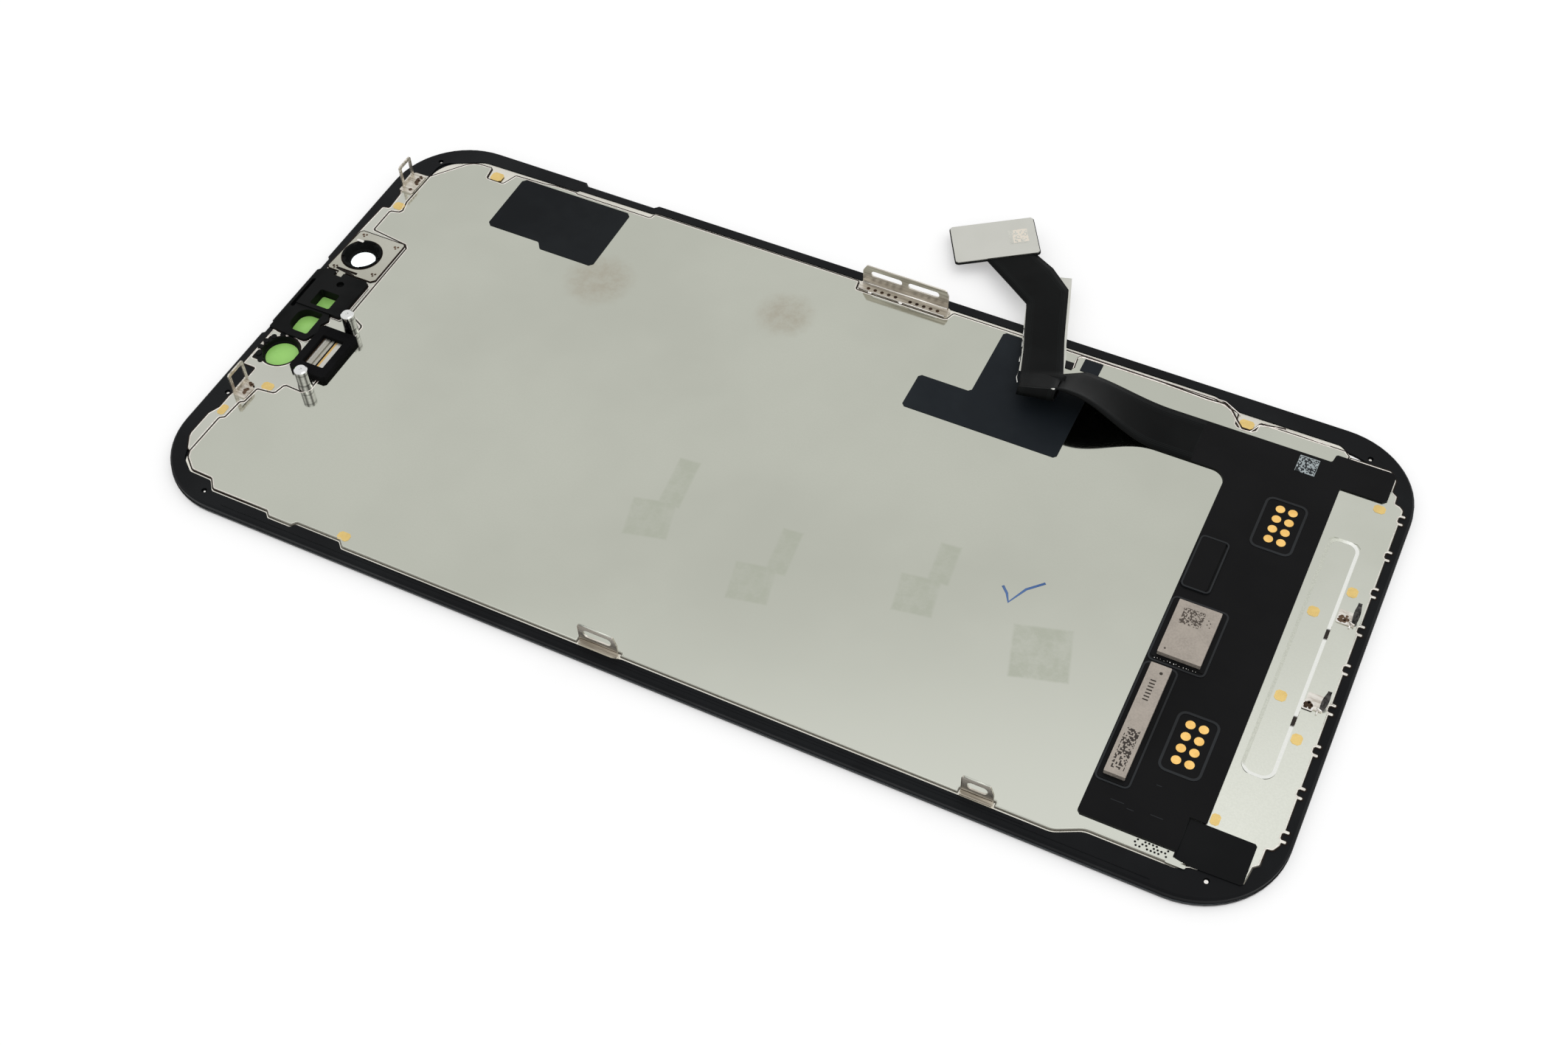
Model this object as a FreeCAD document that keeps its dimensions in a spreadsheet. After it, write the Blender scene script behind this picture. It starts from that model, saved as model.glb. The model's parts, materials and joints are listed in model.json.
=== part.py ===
import FreeCAD, Part
import math
import os
from types import SimpleNamespace

from FreeCAD import Placement, Rotation, Vector

# The display module of a phone, lying on its cover glass with its back up.
# The origin is the middle of the glass's front face, +X runs to the driver board's end,
# +Y to the side where the flexible tail leaves, and +Z up through the stack.

sizes = {
    # cover glass and bezel
    "glass_length": 140.4,
    "glass_width": 68.25,
    "glass_corner_radius": 10.5,
    "glass_thickness": 0.55,
    "glass_edge_round": 0.35,
    "bezel_inset": 0.1,
    "bezel_rise": 0.1,
    "bezel_edge_chamfer": 0.25,
    "print_thickness": 0.03,
    # layers of the display, from the glass up
    "adhesive_thickness": 0.08,
    "cell_thickness": 0.37,
    "film_thickness": 0.08,
    "guide_thickness": 0.17,
    "reflector_thickness": 0.05,
    "tray_thickness": 0.1,
    "plate_thickness": 0.15,
    # plan of the layers
    "layer_side_margin": 3.6,
    "layer_end_margin": 4.3,
    "layer_corner_radius": 5.5,
    "led_strip_width": 1.2,
    "lip_width": 0.3,
    "fit_gap": 0.05,
    "seam_gap": 0.12,
    # sensor bay at the far end from the driver board
    "bay_depth": 12.6,
    "bay_far": 13.9,
    "bay_near": -13.2,
    "bay_wall": 1.5,
    "camera_inset": 4.3,
    "camera_offset": 9.15,
    "camera_window_radius": 1.63,
    "camera_ring_radius": 2.6,
    "camera_ring_rise": 0.2,
    "camera_bracket_thickness": 0.12,
    "round_window_inset": 4.35,
    "round_window_offset": -9.6,
    "round_window_radius": 2.1,
    "round_ring_radius": 2.55,
    "window_thickness": 0.08,
    "holder_block_rise": 0.45,
    "holder_step_rise": 0.3,
    "holder_flange_rise": 0.1,
    "ear_slot_length": 5.4,
    "ear_slot_width": 0.6,
    "stud_radius": 0.85,
    "stud_rise": 3.2,
    "gasket_rise": 0.8,
    "contact_rise": 0.25,
    # driver board and its parts
    "board_thickness": 0.2,
    "board_rib_rise": 0.18,
    "chip_rise": 0.6,
    "contact_radius": 0.55,
    "contact_thickness": 0.03,
    "pad_thickness": 0.03,
    "channel_depth": 0.06,
    "tooth_pitch": 5.72,
    "tape_thickness": 0.06,
    "label_thickness": 0.05,
    # flexible circuits
    "flex_thickness": 0.2,
    "flex_crest": 6.4,
    "stiffener_length": 10.95,
    "stiffener_width": 6.9,
    "stiffener_thickness": 0.2,
    "connector_height": 0.9,
    "touch_flex_width": 5.5,
    "touch_flex_thickness": 0.12,
    # sheet metal uprights
    "clip_rise": 3.2,
    "clip_metal": 0.2,
    "bracket_rise": 3.1,
    "hook_rise": 3.4,
    "hook_strip": 0.45,
    "spring_rise": 1.0,
}

doc = FreeCAD.newDocument("ScreenAssembly")
sheet = doc.addObject("Spreadsheet::Sheet", "Sizes")
for row, (alias, value) in enumerate(sizes.items(), 1):
    sheet.set(f"A{row}", alias)
    sheet.set(f"B{row}", str(value))
    sheet.setAlias(f"B{row}", alias)
doc.recompute()
dim = SimpleNamespace(**{alias: float(sheet.get(alias)) for alias in sizes})

half_length = dim.glass_length / 2
half_width = dim.glass_width / 2
drawn_width = 68.25
stack = ("adhesive", "cell", "film", "guide", "reflector", "tray", "plate")


# Heights: the top of a layer as an expression for the sheet, and as a number
def top_expression(layer):
    names = ["glass"] + list(stack[:stack.index(layer) + 1])
    return " + ".join(f"Sizes.{name}_thickness" for name in names)


def top_of(layer):
    names = ["glass"] + list(stack[:stack.index(layer) + 1])
    return sum(getattr(dim, f"{name}_thickness") for name in names)


glass_back = "Sizes.glass_thickness"
print_back = "Sizes.glass_thickness + Sizes.print_thickness"
on_tray = top_expression("tray")
on_plate = top_expression("plate")
print_back_height = dim.glass_thickness + dim.print_thickness
tray_height = top_of("tray")
plate_height = top_of("plate")


def across(y):
    """A distance across the glass, drawn at the first width and kept in proportion to the real one."""
    return y * dim.glass_width / drawn_width


# Plan points, measured in from the glass's edges, with an optional corner radius
def near_left(inset, rise, radius=0.0):
    return (-half_length + inset, -half_width + across(rise), radius)


def near_right(inset, rise, radius=0.0):
    return (half_length - inset, -half_width + across(rise), radius)


def far_left(inset, drop, radius=0.0):
    return (-half_length + inset, half_width - across(drop), radius)


def far_right(inset, drop, radius=0.0):
    return (half_length - inset, half_width - across(drop), radius)


def mid_left(inset, y, radius=0.0):
    return (-half_length + inset, across(y), radius)


def mid_right(inset, y, radius=0.0):
    return (half_length - inset, across(y), radius)


# Outlines: closed runs of points. Wide corners are tangent arcs, and small ones are cut straight
smallest_arc = 1.2
straight_cut = 0.6


def shrink(points, gap):
    """Move every edge of a counter-clockwise outline inwards by the gap."""
    moved = []
    for index, (x, y, radius) in enumerate(points):
        before = Vector(*points[index - 1][:2], 0)
        here = Vector(x, y, 0)
        after = Vector(*points[(index + 1) % len(points)][:2], 0)
        first = (here - before).normalize()
        second = (after - here).normalize()
        first_normal = Vector(-first.y, first.x, 0)
        second_normal = Vector(-second.y, second.x, 0)
        bisector = first_normal + second_normal
        shift = bisector * (2 * gap / bisector.Length ** 2)
        moved.append((x + shift.x, y + shift.y, radius))
    return moved


def draw(points, arcs_from=smallest_arc):
    """Geometry of a closed outline whose corners each have a radius."""
    corners = []
    for index, (x, y, radius) in enumerate(points):
        here = Vector(x, y, 0)
        before = Vector(*points[index - 1][:2], 0)
        after = Vector(*points[(index + 1) % len(points)][:2], 0)
        inward = before - here
        outward = after - here
        turn = math.pi - inward.getAngle(outward)
        wanted = radius * math.tan(turn / 2)
        reach = min(wanted, 0.45 * inward.Length, 0.45 * outward.Length)
        if reach < 1e-4:
            corners.append((here, None, here))
            continue
        if radius < arcs_from:
            reach *= straight_cut
        start = here + inward.normalize() * reach
        end = here + outward.normalize() * reach
        if radius < arcs_from:
            corners.append((start, None, end))
            continue
        true_radius = reach / math.tan(turn / 2)
        to_centre = (inward + outward).normalize()
        distance = math.hypot(reach, true_radius)
        middle = here + to_centre * (distance - true_radius)
        corners.append((start, middle, end))
    geometry = []
    for index, (start, middle, end) in enumerate(corners):
        last_end = corners[index - 1][2]
        if (start - last_end).Length > 1e-6:
            geometry.append(Part.LineSegment(last_end, start))
        if middle is not None:
            geometry.append(Part.Arc(start, middle, end))
        elif (end - start).Length > 1e-6:
            geometry.append(Part.LineSegment(start, end))
    return geometry


def box_points(x_low, x_high, y_low, y_high, radius=0.0):
    return [(x_low, y_low, radius), (x_high, y_low, radius),
            (x_high, y_high, radius), (x_low, y_high, radius)]


def circle(x, y, radius):
    return [Part.Circle(Vector(x, y, 0), Vector(0, 0, 1), radius)]


# PartDesign helpers
def new_body(name, level=None):
    body = doc.addObject("PartDesign::Body", name)
    body.Label = name
    if level:
        body.setExpression("Placement.Base.z", level)
    return body


def add_sketch(body, outlines, role="XY_Plane", offset=0.0):
    sketch = body.newObject("Sketcher::SketchObject", f"{body.Name}_sketch")
    plane = next(item for item in body.Origin.OriginFeatures if item.Role == role)
    sketch.AttachmentSupport = [(plane, "")]
    sketch.MapMode = "FlatFace"
    sketch.AttachmentOffset = Placement(Vector(0, 0, offset), Rotation())
    for geometry in outlines:
        sketch.addGeometry(geometry, False)
    return sketch


def slot(x_low, x_high, y_low, y_high):
    """A slot whose ends are full rounds."""
    return draw(box_points(x_low, x_high, y_low, y_high, (y_high - y_low) * 0.49), 0.0)


def pad(body, outlines, length, role="XY_Plane", offset=0.0):
    feature = body.newObject("PartDesign::Pad", f"{body.Name}_pad")
    feature.Profile = add_sketch(body, outlines, role, offset)
    feature.setExpression("Length", length)
    return feature


def pocket(body, outlines, depth, top):
    """Cut down from the height called top, measured in the body's own frame."""
    feature = body.newObject("PartDesign::Pocket", f"{body.Name}_pocket")
    feature.Profile = add_sketch(body, outlines, "XY_Plane", top)
    feature.setExpression("Length", depth)
    return feature


def plate_body(name, outlines, thickness, level):
    body = new_body(name, level)
    pad(body, outlines, thickness)
    return body


def edges_at(shape, height):
    """Names of the edges that lie flat at a height."""
    names = []
    for index, edge in enumerate(shape.Edges, 1):
        box = edge.BoundBox
        if abs(box.ZMin - height) < 1e-5 and abs(box.ZMax - height) < 1e-5:
            names.append(f"Edge{index}")
    return names


def dress(body, kind, size_name, size, height):
    """Round or chamfer the flat edges at one height of the body's last feature."""
    doc.recompute()
    base = body.Tip
    feature = body.newObject(f"PartDesign::{kind}", f"{body.Name}_{kind.lower()}")
    feature.Base = (base, edges_at(base.Shape, height))
    feature.setExpression(size_name, size)
    return feature


def shape_part(name, shape):
    part = doc.addObject("Part::Feature", name)
    part.Label = name
    part.Shape = shape
    return part


# Stepped contour that the bezel leaves open for the metal, counter-clockwise. The driver end
# has as many teeth as fit between its corners
tooth_margin = across(11.15)
tooth_count = int((dim.glass_width - 2 * tooth_margin) / dim.tooth_pitch) + 1
tooth_centres = [(index - (tooth_count - 1) / 2) * dim.tooth_pitch + 0.05 for index in range(tooth_count)]
tooth_reach = 0.5
tooth_half = 0.85
knob_half = 0.38
contour_end_inset = 1.3
holder_end = 0.5


def near_edge(step=0.0):
    return [
        near_left(3.9 + step, 4.9 + step, 1.0),
        near_left(5.7 + step / 2, 3.5 + step, 0.8),
        near_left(8.8, 3.4 + step, 0.6),
        near_left(9.9, 2.1 + step, 0.6),
        near_left(17.8, 2.1 + step, 0.4),
        near_left(18.4, 1.5 + step, 0.4),
        near_left(21.6, 1.5 + step, 0.4),
        near_left(22.1, 2.1 + step, 0.4),
        near_left(28.1, 2.1 + step, 0.4),
        near_left(28.9, 1.3 + step, 0.5),
        near_right(75.4, 1.3 + step, 0.5),
        near_right(74.2, 1.6 + step, 0.5),
        near_right(23.2, 1.6 + step, 2.5),
        near_right(20.2, 3.1 + step, 2.5),
        near_right(10.2, 3.1 + step, 1.0),
    ]


def tooth_points(centre):
    """Two fingers with the moulded knob between them, on the driver end."""
    root = half_length - contour_end_inset
    tip = root + tooth_reach
    knob = root - 0.2
    return [
        (root, centre - tooth_half, 0.0),
        (tip, centre - tooth_half, 0.2),
        (tip, centre - knob_half, 0.2),
        (knob, centre - knob_half, 0.25),
        (knob, centre + knob_half, 0.25),
        (tip, centre + knob_half, 0.2),
        (tip, centre + tooth_half, 0.2),
        (root, centre + tooth_half, 0.0),
    ]


def driver_end_edge():
    points = [
        near_right(3.4, 4.2, 0.3),
        near_right(3.1, 6.5),
        near_right(2.5, 7.0, 0.3),
        near_right(2.45, 9.1, 0.2),
        near_right(1.8, 9.2, 0.4),
        near_right(contour_end_inset, 10.1, 0.4),
    ]
    for centre in tooth_centres:
        points += tooth_points(centre)
    points += [
        far_right(contour_end_inset, 9.7, 0.4),
        far_right(1.8, 9.2, 0.4),
        far_right(2.45, 9.0, 0.2),
        far_right(2.5, 7.9, 0.2),
        far_right(3.2, 7.4, 0.3),
        far_right(3.2, 5.6, 0.8),
        far_right(4.0, 4.4, 0.8),
    ]
    return points


def far_edge():
    return [
        far_right(8.7, 4.3, 0.8),
        far_right(10.7, 2.9, 1.2),
        far_right(23.3, 2.9, 2.0),
        far_right(26.7, 1.6, 2.0),
        far_left(35.8, 1.6, 0.3),
        far_left(35.4, 1.9, 0.3),
        far_left(24.3, 2.0, 0.3),
        far_left(24.0, 2.3, 0.3),
        far_left(9.7, 2.5, 3.0),
    ]


def sensor_end_edge(recess):
    """From the far corner down to the near corner, past the bay and the recess beside it."""
    return [
        far_left(4.15, 5.2, 5.0),
        far_left(4.15, 8.2),
        far_left(1.9, 8.2, 0.3),
        far_left(1.95, 12.1, 0.3),
        far_left(2.4, 12.8, 0.3),
        far_left(2.55, 15.7, 0.3),
        far_left(1.6, 15.9, 0.3),
        mid_left(1.35, 12.5, 0.5),
        mid_left(contour_end_inset, 4.95),
        *recess,
        mid_left(contour_end_inset, -6.8),
        mid_left(1.2, -13.4, 0.2),
        mid_left(3.1, -13.4, 0.3),
        mid_left(3.1, -17.2, 0.2),
        near_left(2.85, 15.5, 0.2),
        near_left(2.85, 13.5, 0.4),
        near_left(2.2, 12.1, 0.4),
        near_left(2.15, 8.6, 0.3),
        near_left(2.3, 8.0, 0.3),
        near_left(3.3, 6.3, 0.5),
    ]


def bezel_contour():
    recess = [mid_left(holder_end, 4.95, 0.3), mid_left(holder_end, -6.8, 0.3)]
    return (near_edge() + [near_right(9.0, 3.9, 0.8)] + driver_end_edge() + far_edge()
            + sensor_end_edge(recess))


# Seam between the sensor plate and the rear plate, from the far corner to the near one
def seam_line():
    return [
        far_left(4.2, 8.15),
        far_left(4.1, 13.8, 0.4),
        far_left(4.6, 15.8, 0.6),
        far_left(3.0, 16.2, 0.4),
        far_left(3.0, 20.2, 0.4),
        mid_left(8.9, 13.2, 1.0),
        mid_left(8.9, -0.5, 0.5),
        mid_left(11.4, -1.7, 0.5),
        mid_left(11.5, -13.5, 0.7),
        mid_left(10.7, -14.3, 0.7),
        mid_left(8.2, -14.2, 0.5),
        mid_left(7.8, -15.9, 0.5),
        mid_left(5.4, -16.2, 0.3),
        mid_left(5.2, -18.6, 0.3),
        near_left(4.7, 15.2, 0.3),
        near_left(4.5, 12.4, 0.4),
        near_left(3.9, 12.0, 0.4),
        near_left(3.8, 6.1),
    ]


def display_corners():
    x = half_length - dim.layer_end_margin
    y = half_width - dim.layer_side_margin
    return box_points(-x, x, -y, y, dim.layer_corner_radius)


def layer_points(gap=0.0):
    """Plan of the display's layers, cut back round the sensor bay."""
    end = dim.layer_end_margin
    points = display_corners() + [
        mid_left(end, dim.bay_far), mid_left(dim.bay_depth, dim.bay_far, 0.8),
        mid_left(dim.bay_depth, dim.bay_near, 0.8), mid_left(end, dim.bay_near),
    ]
    return shrink(points, gap)


def bay_opening_points():
    """Plan of the bezel's opening: the layers and the bay that reaches past them."""
    end = dim.layer_end_margin
    return display_corners() + [
        mid_left(end, dim.bay_far, 0.3), mid_left(dim.bay_wall, dim.bay_far, 0.5),
        mid_left(dim.bay_wall, dim.bay_near, 0.5), mid_left(end, dim.bay_near, 0.3),
    ]


# Shared places in the sensor bay
camera_x = -half_length + dim.camera_inset
camera_y = across(dim.camera_offset)
round_x = -half_length + dim.round_window_inset
round_y = across(dim.round_window_offset)
square_window = (-half_length + 3.2, -half_length + 6.1, across(-1.3), across(1.4))
half_round_window = (-half_length + 2.7, -half_length + 5.9, across(-6.0), across(-2.2))
ear_slot_x = -half_length + 1.1
ear_slot_y = across(0.3)


def ear_slot(grow=0.0):
    half = dim.ear_slot_width / 2 + grow
    reach = dim.ear_slot_length / 2 + grow
    return draw(box_points(ear_slot_x - half, ear_slot_x + half,
                           ear_slot_y - reach, ear_slot_y + reach, half * 0.98))


def square_outline(grow=0.0):
    x_low, x_high, y_low, y_high = square_window
    return draw(box_points(x_low - grow, x_high + grow, y_low - grow, y_high + grow, 0.3))


def half_round_outline(grow=0.0):
    """A round hole with its side toward the display cut straight."""
    x_low, x_high, y_low, y_high = half_round_window
    return draw([
        (x_low - grow, y_low - grow, 1.7), (x_high + grow, y_low - grow, 0.3),
        (x_high + grow, y_high + grow, 0.3), (x_low - grow, y_high + grow, 1.7),
    ])


# Cover glass, its printed border and the layers of the display
def make_cover_glass():
    body = new_body("cover_glass")
    outline = draw(box_points(-half_length, half_length, -half_width, half_width, dim.glass_corner_radius))
    pad(body, [outline, ear_slot()], "Sizes.glass_thickness")
    doc.recompute()
    base = body.Tip
    front = [name for name in edges_at(base.Shape, 0.0)
             if base.Shape.getElement(name).BoundBox.XMin > ear_slot_x + 1
             or base.Shape.getElement(name).BoundBox.YMax < ear_slot_y - dim.ear_slot_length
             or base.Shape.getElement(name).BoundBox.YMin > ear_slot_y + dim.ear_slot_length
             or base.Shape.getElement(name).BoundBox.XMax < -half_length + 0.01]
    fillet = body.newObject("PartDesign::Fillet", "cover_glass_fillet")
    fillet.Base = (base, front)
    fillet.setExpression("Radius", "Sizes.glass_edge_round")
    return body


def make_border_print():
    inset = dim.bezel_inset
    outer = draw(box_points(-half_length + inset, half_length - inset, -half_width + inset,
                            half_width - inset, dim.glass_corner_radius - inset))
    holes = [
        draw(layer_points(-dim.fit_gap)), ear_slot(), square_outline(-0.3), half_round_outline(-0.3),
        circle(camera_x, camera_y, dim.camera_window_radius),
        circle(round_x, round_y, dim.round_window_radius - 0.2),
    ]
    return plate_body("border_print", [outer] + holes, "Sizes.print_thickness", glass_back)


def make_layer(name, size_name, level):
    return plate_body(name, [draw(layer_points(dim.fit_gap))], f"Sizes.{size_name}_thickness", level)


def make_light_guide():
    points = layer_points(dim.fit_gap)
    x_cut = half_length - dim.layer_end_margin - dim.led_strip_width - dim.fit_gap
    guide = [(min(x, x_cut), y, radius) for x, y, radius in points]
    return plate_body("light_guide", [draw(guide)], "Sizes.guide_thickness", top_expression("film"))


def make_led_strip():
    x_high = half_length - dim.layer_end_margin - dim.fit_gap
    x_low = x_high - dim.led_strip_width + dim.fit_gap
    reach = half_width - dim.layer_side_margin - dim.layer_corner_radius
    outline = draw(box_points(x_low, x_high, -reach, reach, 0.2))
    return plate_body("led_strip", [outline], "Sizes.guide_thickness", top_expression("film"))


def tray_points():
    """The bezel's contour without its teeth, and cut back round the sensor bay."""
    right_side = [near_right(9.0, 3.9, 0.8), near_right(3.4, 4.3, 0.3), near_right(3.4, 9.6, 0.4),
                  near_right(1.6, 10.3, 0.4), far_right(1.6, 9.9, 0.4), far_right(3.5, 9.4, 0.4),
                  far_right(3.5, 5.6, 0.8), far_right(4.2, 4.5, 0.8)]
    bay_side = [far_left(4.15, 5.2, 5.0), mid_left(4.6, dim.bay_far + 0.4),
                mid_left(dim.bay_depth - 0.1, dim.bay_far + 0.1, 0.8),
                mid_left(dim.bay_depth - 0.1, dim.bay_near - 0.1, 0.8), near_left(4.4, 12.0)]
    return near_edge() + right_side + far_edge() + bay_side


def make_backlight_tray():
    outline = draw(shrink(tray_points(), dim.fit_gap))
    return plate_body("backlight_tray", [outline], "Sizes.tray_thickness", top_expression("reflector"))


# Bezel: outer rim with its notches, opening, ledge, stepped contour and end teeth
def bezel_outer():
    edge = dim.bezel_inset
    x = half_length - edge
    y = half_width - edge
    radius = dim.glass_corner_radius - edge
    notch = 0.6
    return [
        (-x, -y, radius), (x, -y, radius), (x, y, radius),
        (-x + 35.4, y, 0.0), (-x + 34.8, y - notch, 0.0), (-x + 24.8, y - notch, 0.0), (-x + 24.2, y, 0.0),
        (-x, y, radius),
        mid_left(edge, 7.3), mid_left(edge + 0.3, 7.0), mid_left(edge + 0.3, 5.0), mid_left(edge, 4.7),
        mid_left(edge, -5.4), mid_left(edge + 0.3, -5.7), mid_left(edge + 0.3, -7.5), mid_left(edge, -7.8),
    ]


def make_bezel_frame():
    body = new_body("bezel_frame", print_back)
    below = " + ".join(f"Sizes.{name}_thickness" for name in stack[:stack.index("plate")])
    height = f"{below} - Sizes.print_thickness + Sizes.bezel_rise"
    top = tray_height + dim.bezel_rise - print_back_height
    pad(body, [draw(bezel_outer())], height)
    dress(body, "Chamfer", "Size", "Sizes.bezel_edge_chamfer", top)
    pocket(body, [draw(bay_opening_points())], height, top)
    pocket(body, [draw(bezel_contour())], "Sizes.tray_thickness + Sizes.bezel_rise", top)
    pocket(body, [ear_slot()], height, top)
    rim_holes = [near_right(6.9, 3.1), far_right(6.9, 3.5), near_left(9.1, 1.8), far_left(4.0, 4.9),
                 near_left(2.3, 16.0)]
    pocket(body, [circle(x, y, 0.35) for x, y, radius in rim_holes], "Sizes.bezel_rise * 3", top)
    return body


# Metal sheets on the back
def rear_plate_points():
    clip_left = [near_right(80.0, 1.6), near_right(80.0, 2.3, 0.2), near_right(74.5, 2.3, 0.2),
                 near_right(74.5, 1.9)]
    clip_right = [near_right(33.9, 1.9), near_right(33.9, 2.5, 0.2), near_right(29.7, 2.5, 0.2),
                  near_right(29.7, 1.9)]
    near_side = near_edge(dim.lip_width)
    near_side = near_side[:10] + clip_left + clip_right + near_side[12:]
    driver_side = [near_right(9.3, 4.2, 0.3), far_right(9.3, 3.6, 1.0)]
    far_side = [
        far_right(20.5, 3.6, 0.3), far_right(20.7, 5.3, 0.7), far_right(23.1, 5.3, 0.7),
        far_right(23.3, 3.2, 0.3), far_right(26.7, 2.15, 1.5),
        far_right(61.3, 2.15, 0.4), far_right(61.8, 3.5, 0.5), far_right(74.4, 3.4, 0.4),
        far_right(74.6, 1.9, 0.2),
        far_left(35.8, 1.9, 0.4), far_left(35.5, 2.8, 0.4), far_left(24.4, 2.8, 0.4),
        far_left(24.0, 2.6, 0.2), far_left(20.9, 2.6, 0.3), far_left(19.4, 2.9, 0.5),
        far_left(14.9, 3.1, 0.3), far_left(14.1, 5.2, 0.5), far_left(11.5, 5.2, 0.5),
        far_left(11.2, 3.1, 0.3), far_left(8.2, 3.2, 3.5),
    ]
    return near_side + driver_side + far_side + seam_line()


def make_rear_plate():
    outline = draw(shrink(rear_plate_points(), dim.seam_gap / 2))
    return plate_body("rear_plate", [outline], "Sizes.plate_thickness", on_tray)


def sensor_plate_points():
    return sensor_end_edge([])[1:] + list(reversed(seam_line()))


def gasket_box(grow=0.0):
    return box_points(-half_length + 7.25 - grow, -half_length + 12.5 + grow, across(-11.85) - grow,
                      across(-4.05) + grow, 0.5)


def gasket_window(grow=0.0):
    return box_points(-half_length + 8.35 - grow, -half_length + 11.4 + grow, across(-10.35) - grow,
                      across(-5.55) + grow, 0.15)


def ring_tabs(grow=0.0):
    """Toothed tabs of the round window's ring, toward the glass's end."""
    x_low = round_x - dim.round_ring_radius - 0.1 - grow
    x_high = round_x - dim.round_ring_radius * 0.6
    far_tab = box_points(x_low, x_high, round_y + 0.1 - grow, round_y + 1.6 + grow, 0.2)
    near_tab = box_points(x_low, x_high, round_y - 2.4 - grow, round_y - 1.0 + grow, 0.2)
    return far_tab, near_tab


def make_sensor_plate():
    body = plate_body("sensor_plate", [draw(shrink(sensor_plate_points(), dim.seam_gap / 2))],
                      "Sizes.plate_thickness", on_tray)
    block = holder_block_points(1.2, dim.fit_gap)
    step = holder_step_points(1.2, dim.fit_gap)
    top = dim.plate_thickness
    pocket(body, [draw(block)], "Sizes.plate_thickness", top)
    pocket(body, [draw(step)], "Sizes.plate_thickness", top)
    pocket(body, [circle(camera_x, camera_y, dim.camera_ring_radius + dim.fit_gap)],
           "Sizes.plate_thickness", top)
    pocket(body, [circle(round_x, round_y, dim.round_ring_radius + dim.fit_gap)],
           "Sizes.plate_thickness", top)
    for tab in ring_tabs(dim.fit_gap):
        pocket(body, [draw(tab)], "Sizes.plate_thickness", top)
    return body


def make_end_bracket():
    points = [near_right(9.1, 4.2)] + driver_end_edge() + [far_right(9.1, 4.4)]
    body = plate_body("end_bracket", [draw(shrink(points, dim.fit_gap))], "Sizes.plate_thickness", on_tray)
    channel = box_points(half_length - 8.0, half_length - 4.3, across(-17.1), across(17.4), 0.8)
    pocket(body, [draw(channel)], "Sizes.channel_depth", dim.plate_thickness)
    for low in (across(3.0), across(-9.3)):
        relief = box_points(half_length - 4.6, half_length - 4.2, low, low + 2.0)
        pocket(body, [draw(relief)], "Sizes.plate_thickness", dim.plate_thickness)
    return body


# Sensor bay: moulded holder, windows, camera ring, posts, gasket
def holder_block_points(end_inset, grow=0.0):
    """Raised block round the square window, notched for the camera bracket's tab."""
    x_low = -half_length + end_inset
    x_high = -half_length + 8.2 + grow
    y_low = across(-1.9) - grow
    y_high = across(4.95) + grow
    y_tab = across(4.3) + grow
    tab_low = -half_length + 3.1 + grow
    tab_high = -half_length + 4.3 - grow
    return [
        (x_low, y_low + grow, 0.0), (x_high, y_low, 0.3), (x_high, y_high, 0.6), (tab_high, y_high, 0.0),
        (tab_high, y_tab, 0.0), (tab_low, y_tab, 0.0), (tab_low, y_high, 0.0), (x_low, y_high, 0.0),
    ]


def holder_step_points(end_inset, grow=0.0):
    """Lower part round the half round window, with a scalloped side."""
    return [
        mid_left(end_inset, -6.75 - grow, 0.3), mid_left(3.6, -7.0 - grow, 0.6),
        mid_left(6.3, -6.9 - grow, 0.5), mid_left(7.0 + grow, -5.2, 0.5), mid_left(6.6 + grow, -3.9, 0.3),
        mid_left(7.1 + grow, -2.9, 0.5), mid_left(6.6 + grow, -1.9 + grow), mid_left(end_inset, -1.9 + grow),
    ]


def make_sensor_holder():
    body = new_body("sensor_holder", print_back)
    base_height = tray_height - print_back_height
    base = [mid_left(dim.bay_wall + dim.fit_gap, dim.bay_near + dim.fit_gap, 0.5),
            mid_left(dim.bay_depth - 0.25, dim.bay_near + dim.fit_gap, 0.7),
            mid_left(dim.bay_depth - 0.25, dim.bay_far - dim.fit_gap, 0.7),
            mid_left(dim.bay_wall + dim.fit_gap, dim.bay_far - dim.fit_gap, 0.5)]
    below = " + ".join(f"Sizes.{name}_thickness" for name in stack[:stack.index("plate")])
    rise = f"{below} - Sizes.print_thickness"
    plate_rise = f"{rise} + Sizes.plate_thickness"
    pad(body, [draw(base)], rise)
    wall = dim.bay_wall + dim.fit_gap
    pad(body, [draw(holder_block_points(wall))], f"{plate_rise} + Sizes.holder_block_rise")
    pad(body, [draw(holder_step_points(wall))], f"{plate_rise} + Sizes.holder_step_rise")
    ledge = base_height - dim.tray_thickness
    flange = [mid_left(holder_end + dim.fit_gap, -6.7, 0.3), mid_left(wall + 0.15, -6.7),
              mid_left(wall + 0.15, 4.85), mid_left(holder_end + dim.fit_gap, 4.85, 0.3)]
    pad(body, [draw(flange)], "Sizes.tray_thickness + Sizes.bezel_rise + Sizes.holder_flange_rise",
        offset=ledge)
    full = base_height + dim.plate_thickness + dim.holder_block_rise
    depth = f"{plate_rise} + Sizes.holder_block_rise"
    cuts = [
        [square_outline()], [half_round_outline()], [ear_slot()],
        [circle(camera_x, camera_y, dim.camera_ring_radius + dim.fit_gap)],
        [circle(round_x, round_y, dim.round_ring_radius + dim.fit_gap)],
    ]
    for cut in cuts:
        pocket(body, cut, depth, full)
    for tab in ring_tabs(dim.fit_gap):
        pocket(body, [draw(tab)], "Sizes.tray_thickness", base_height)
    pocket(body, [circle(-half_length + 5.0, across(3.1), 0.5)], "Sizes.holder_block_rise", full)
    return body


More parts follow.
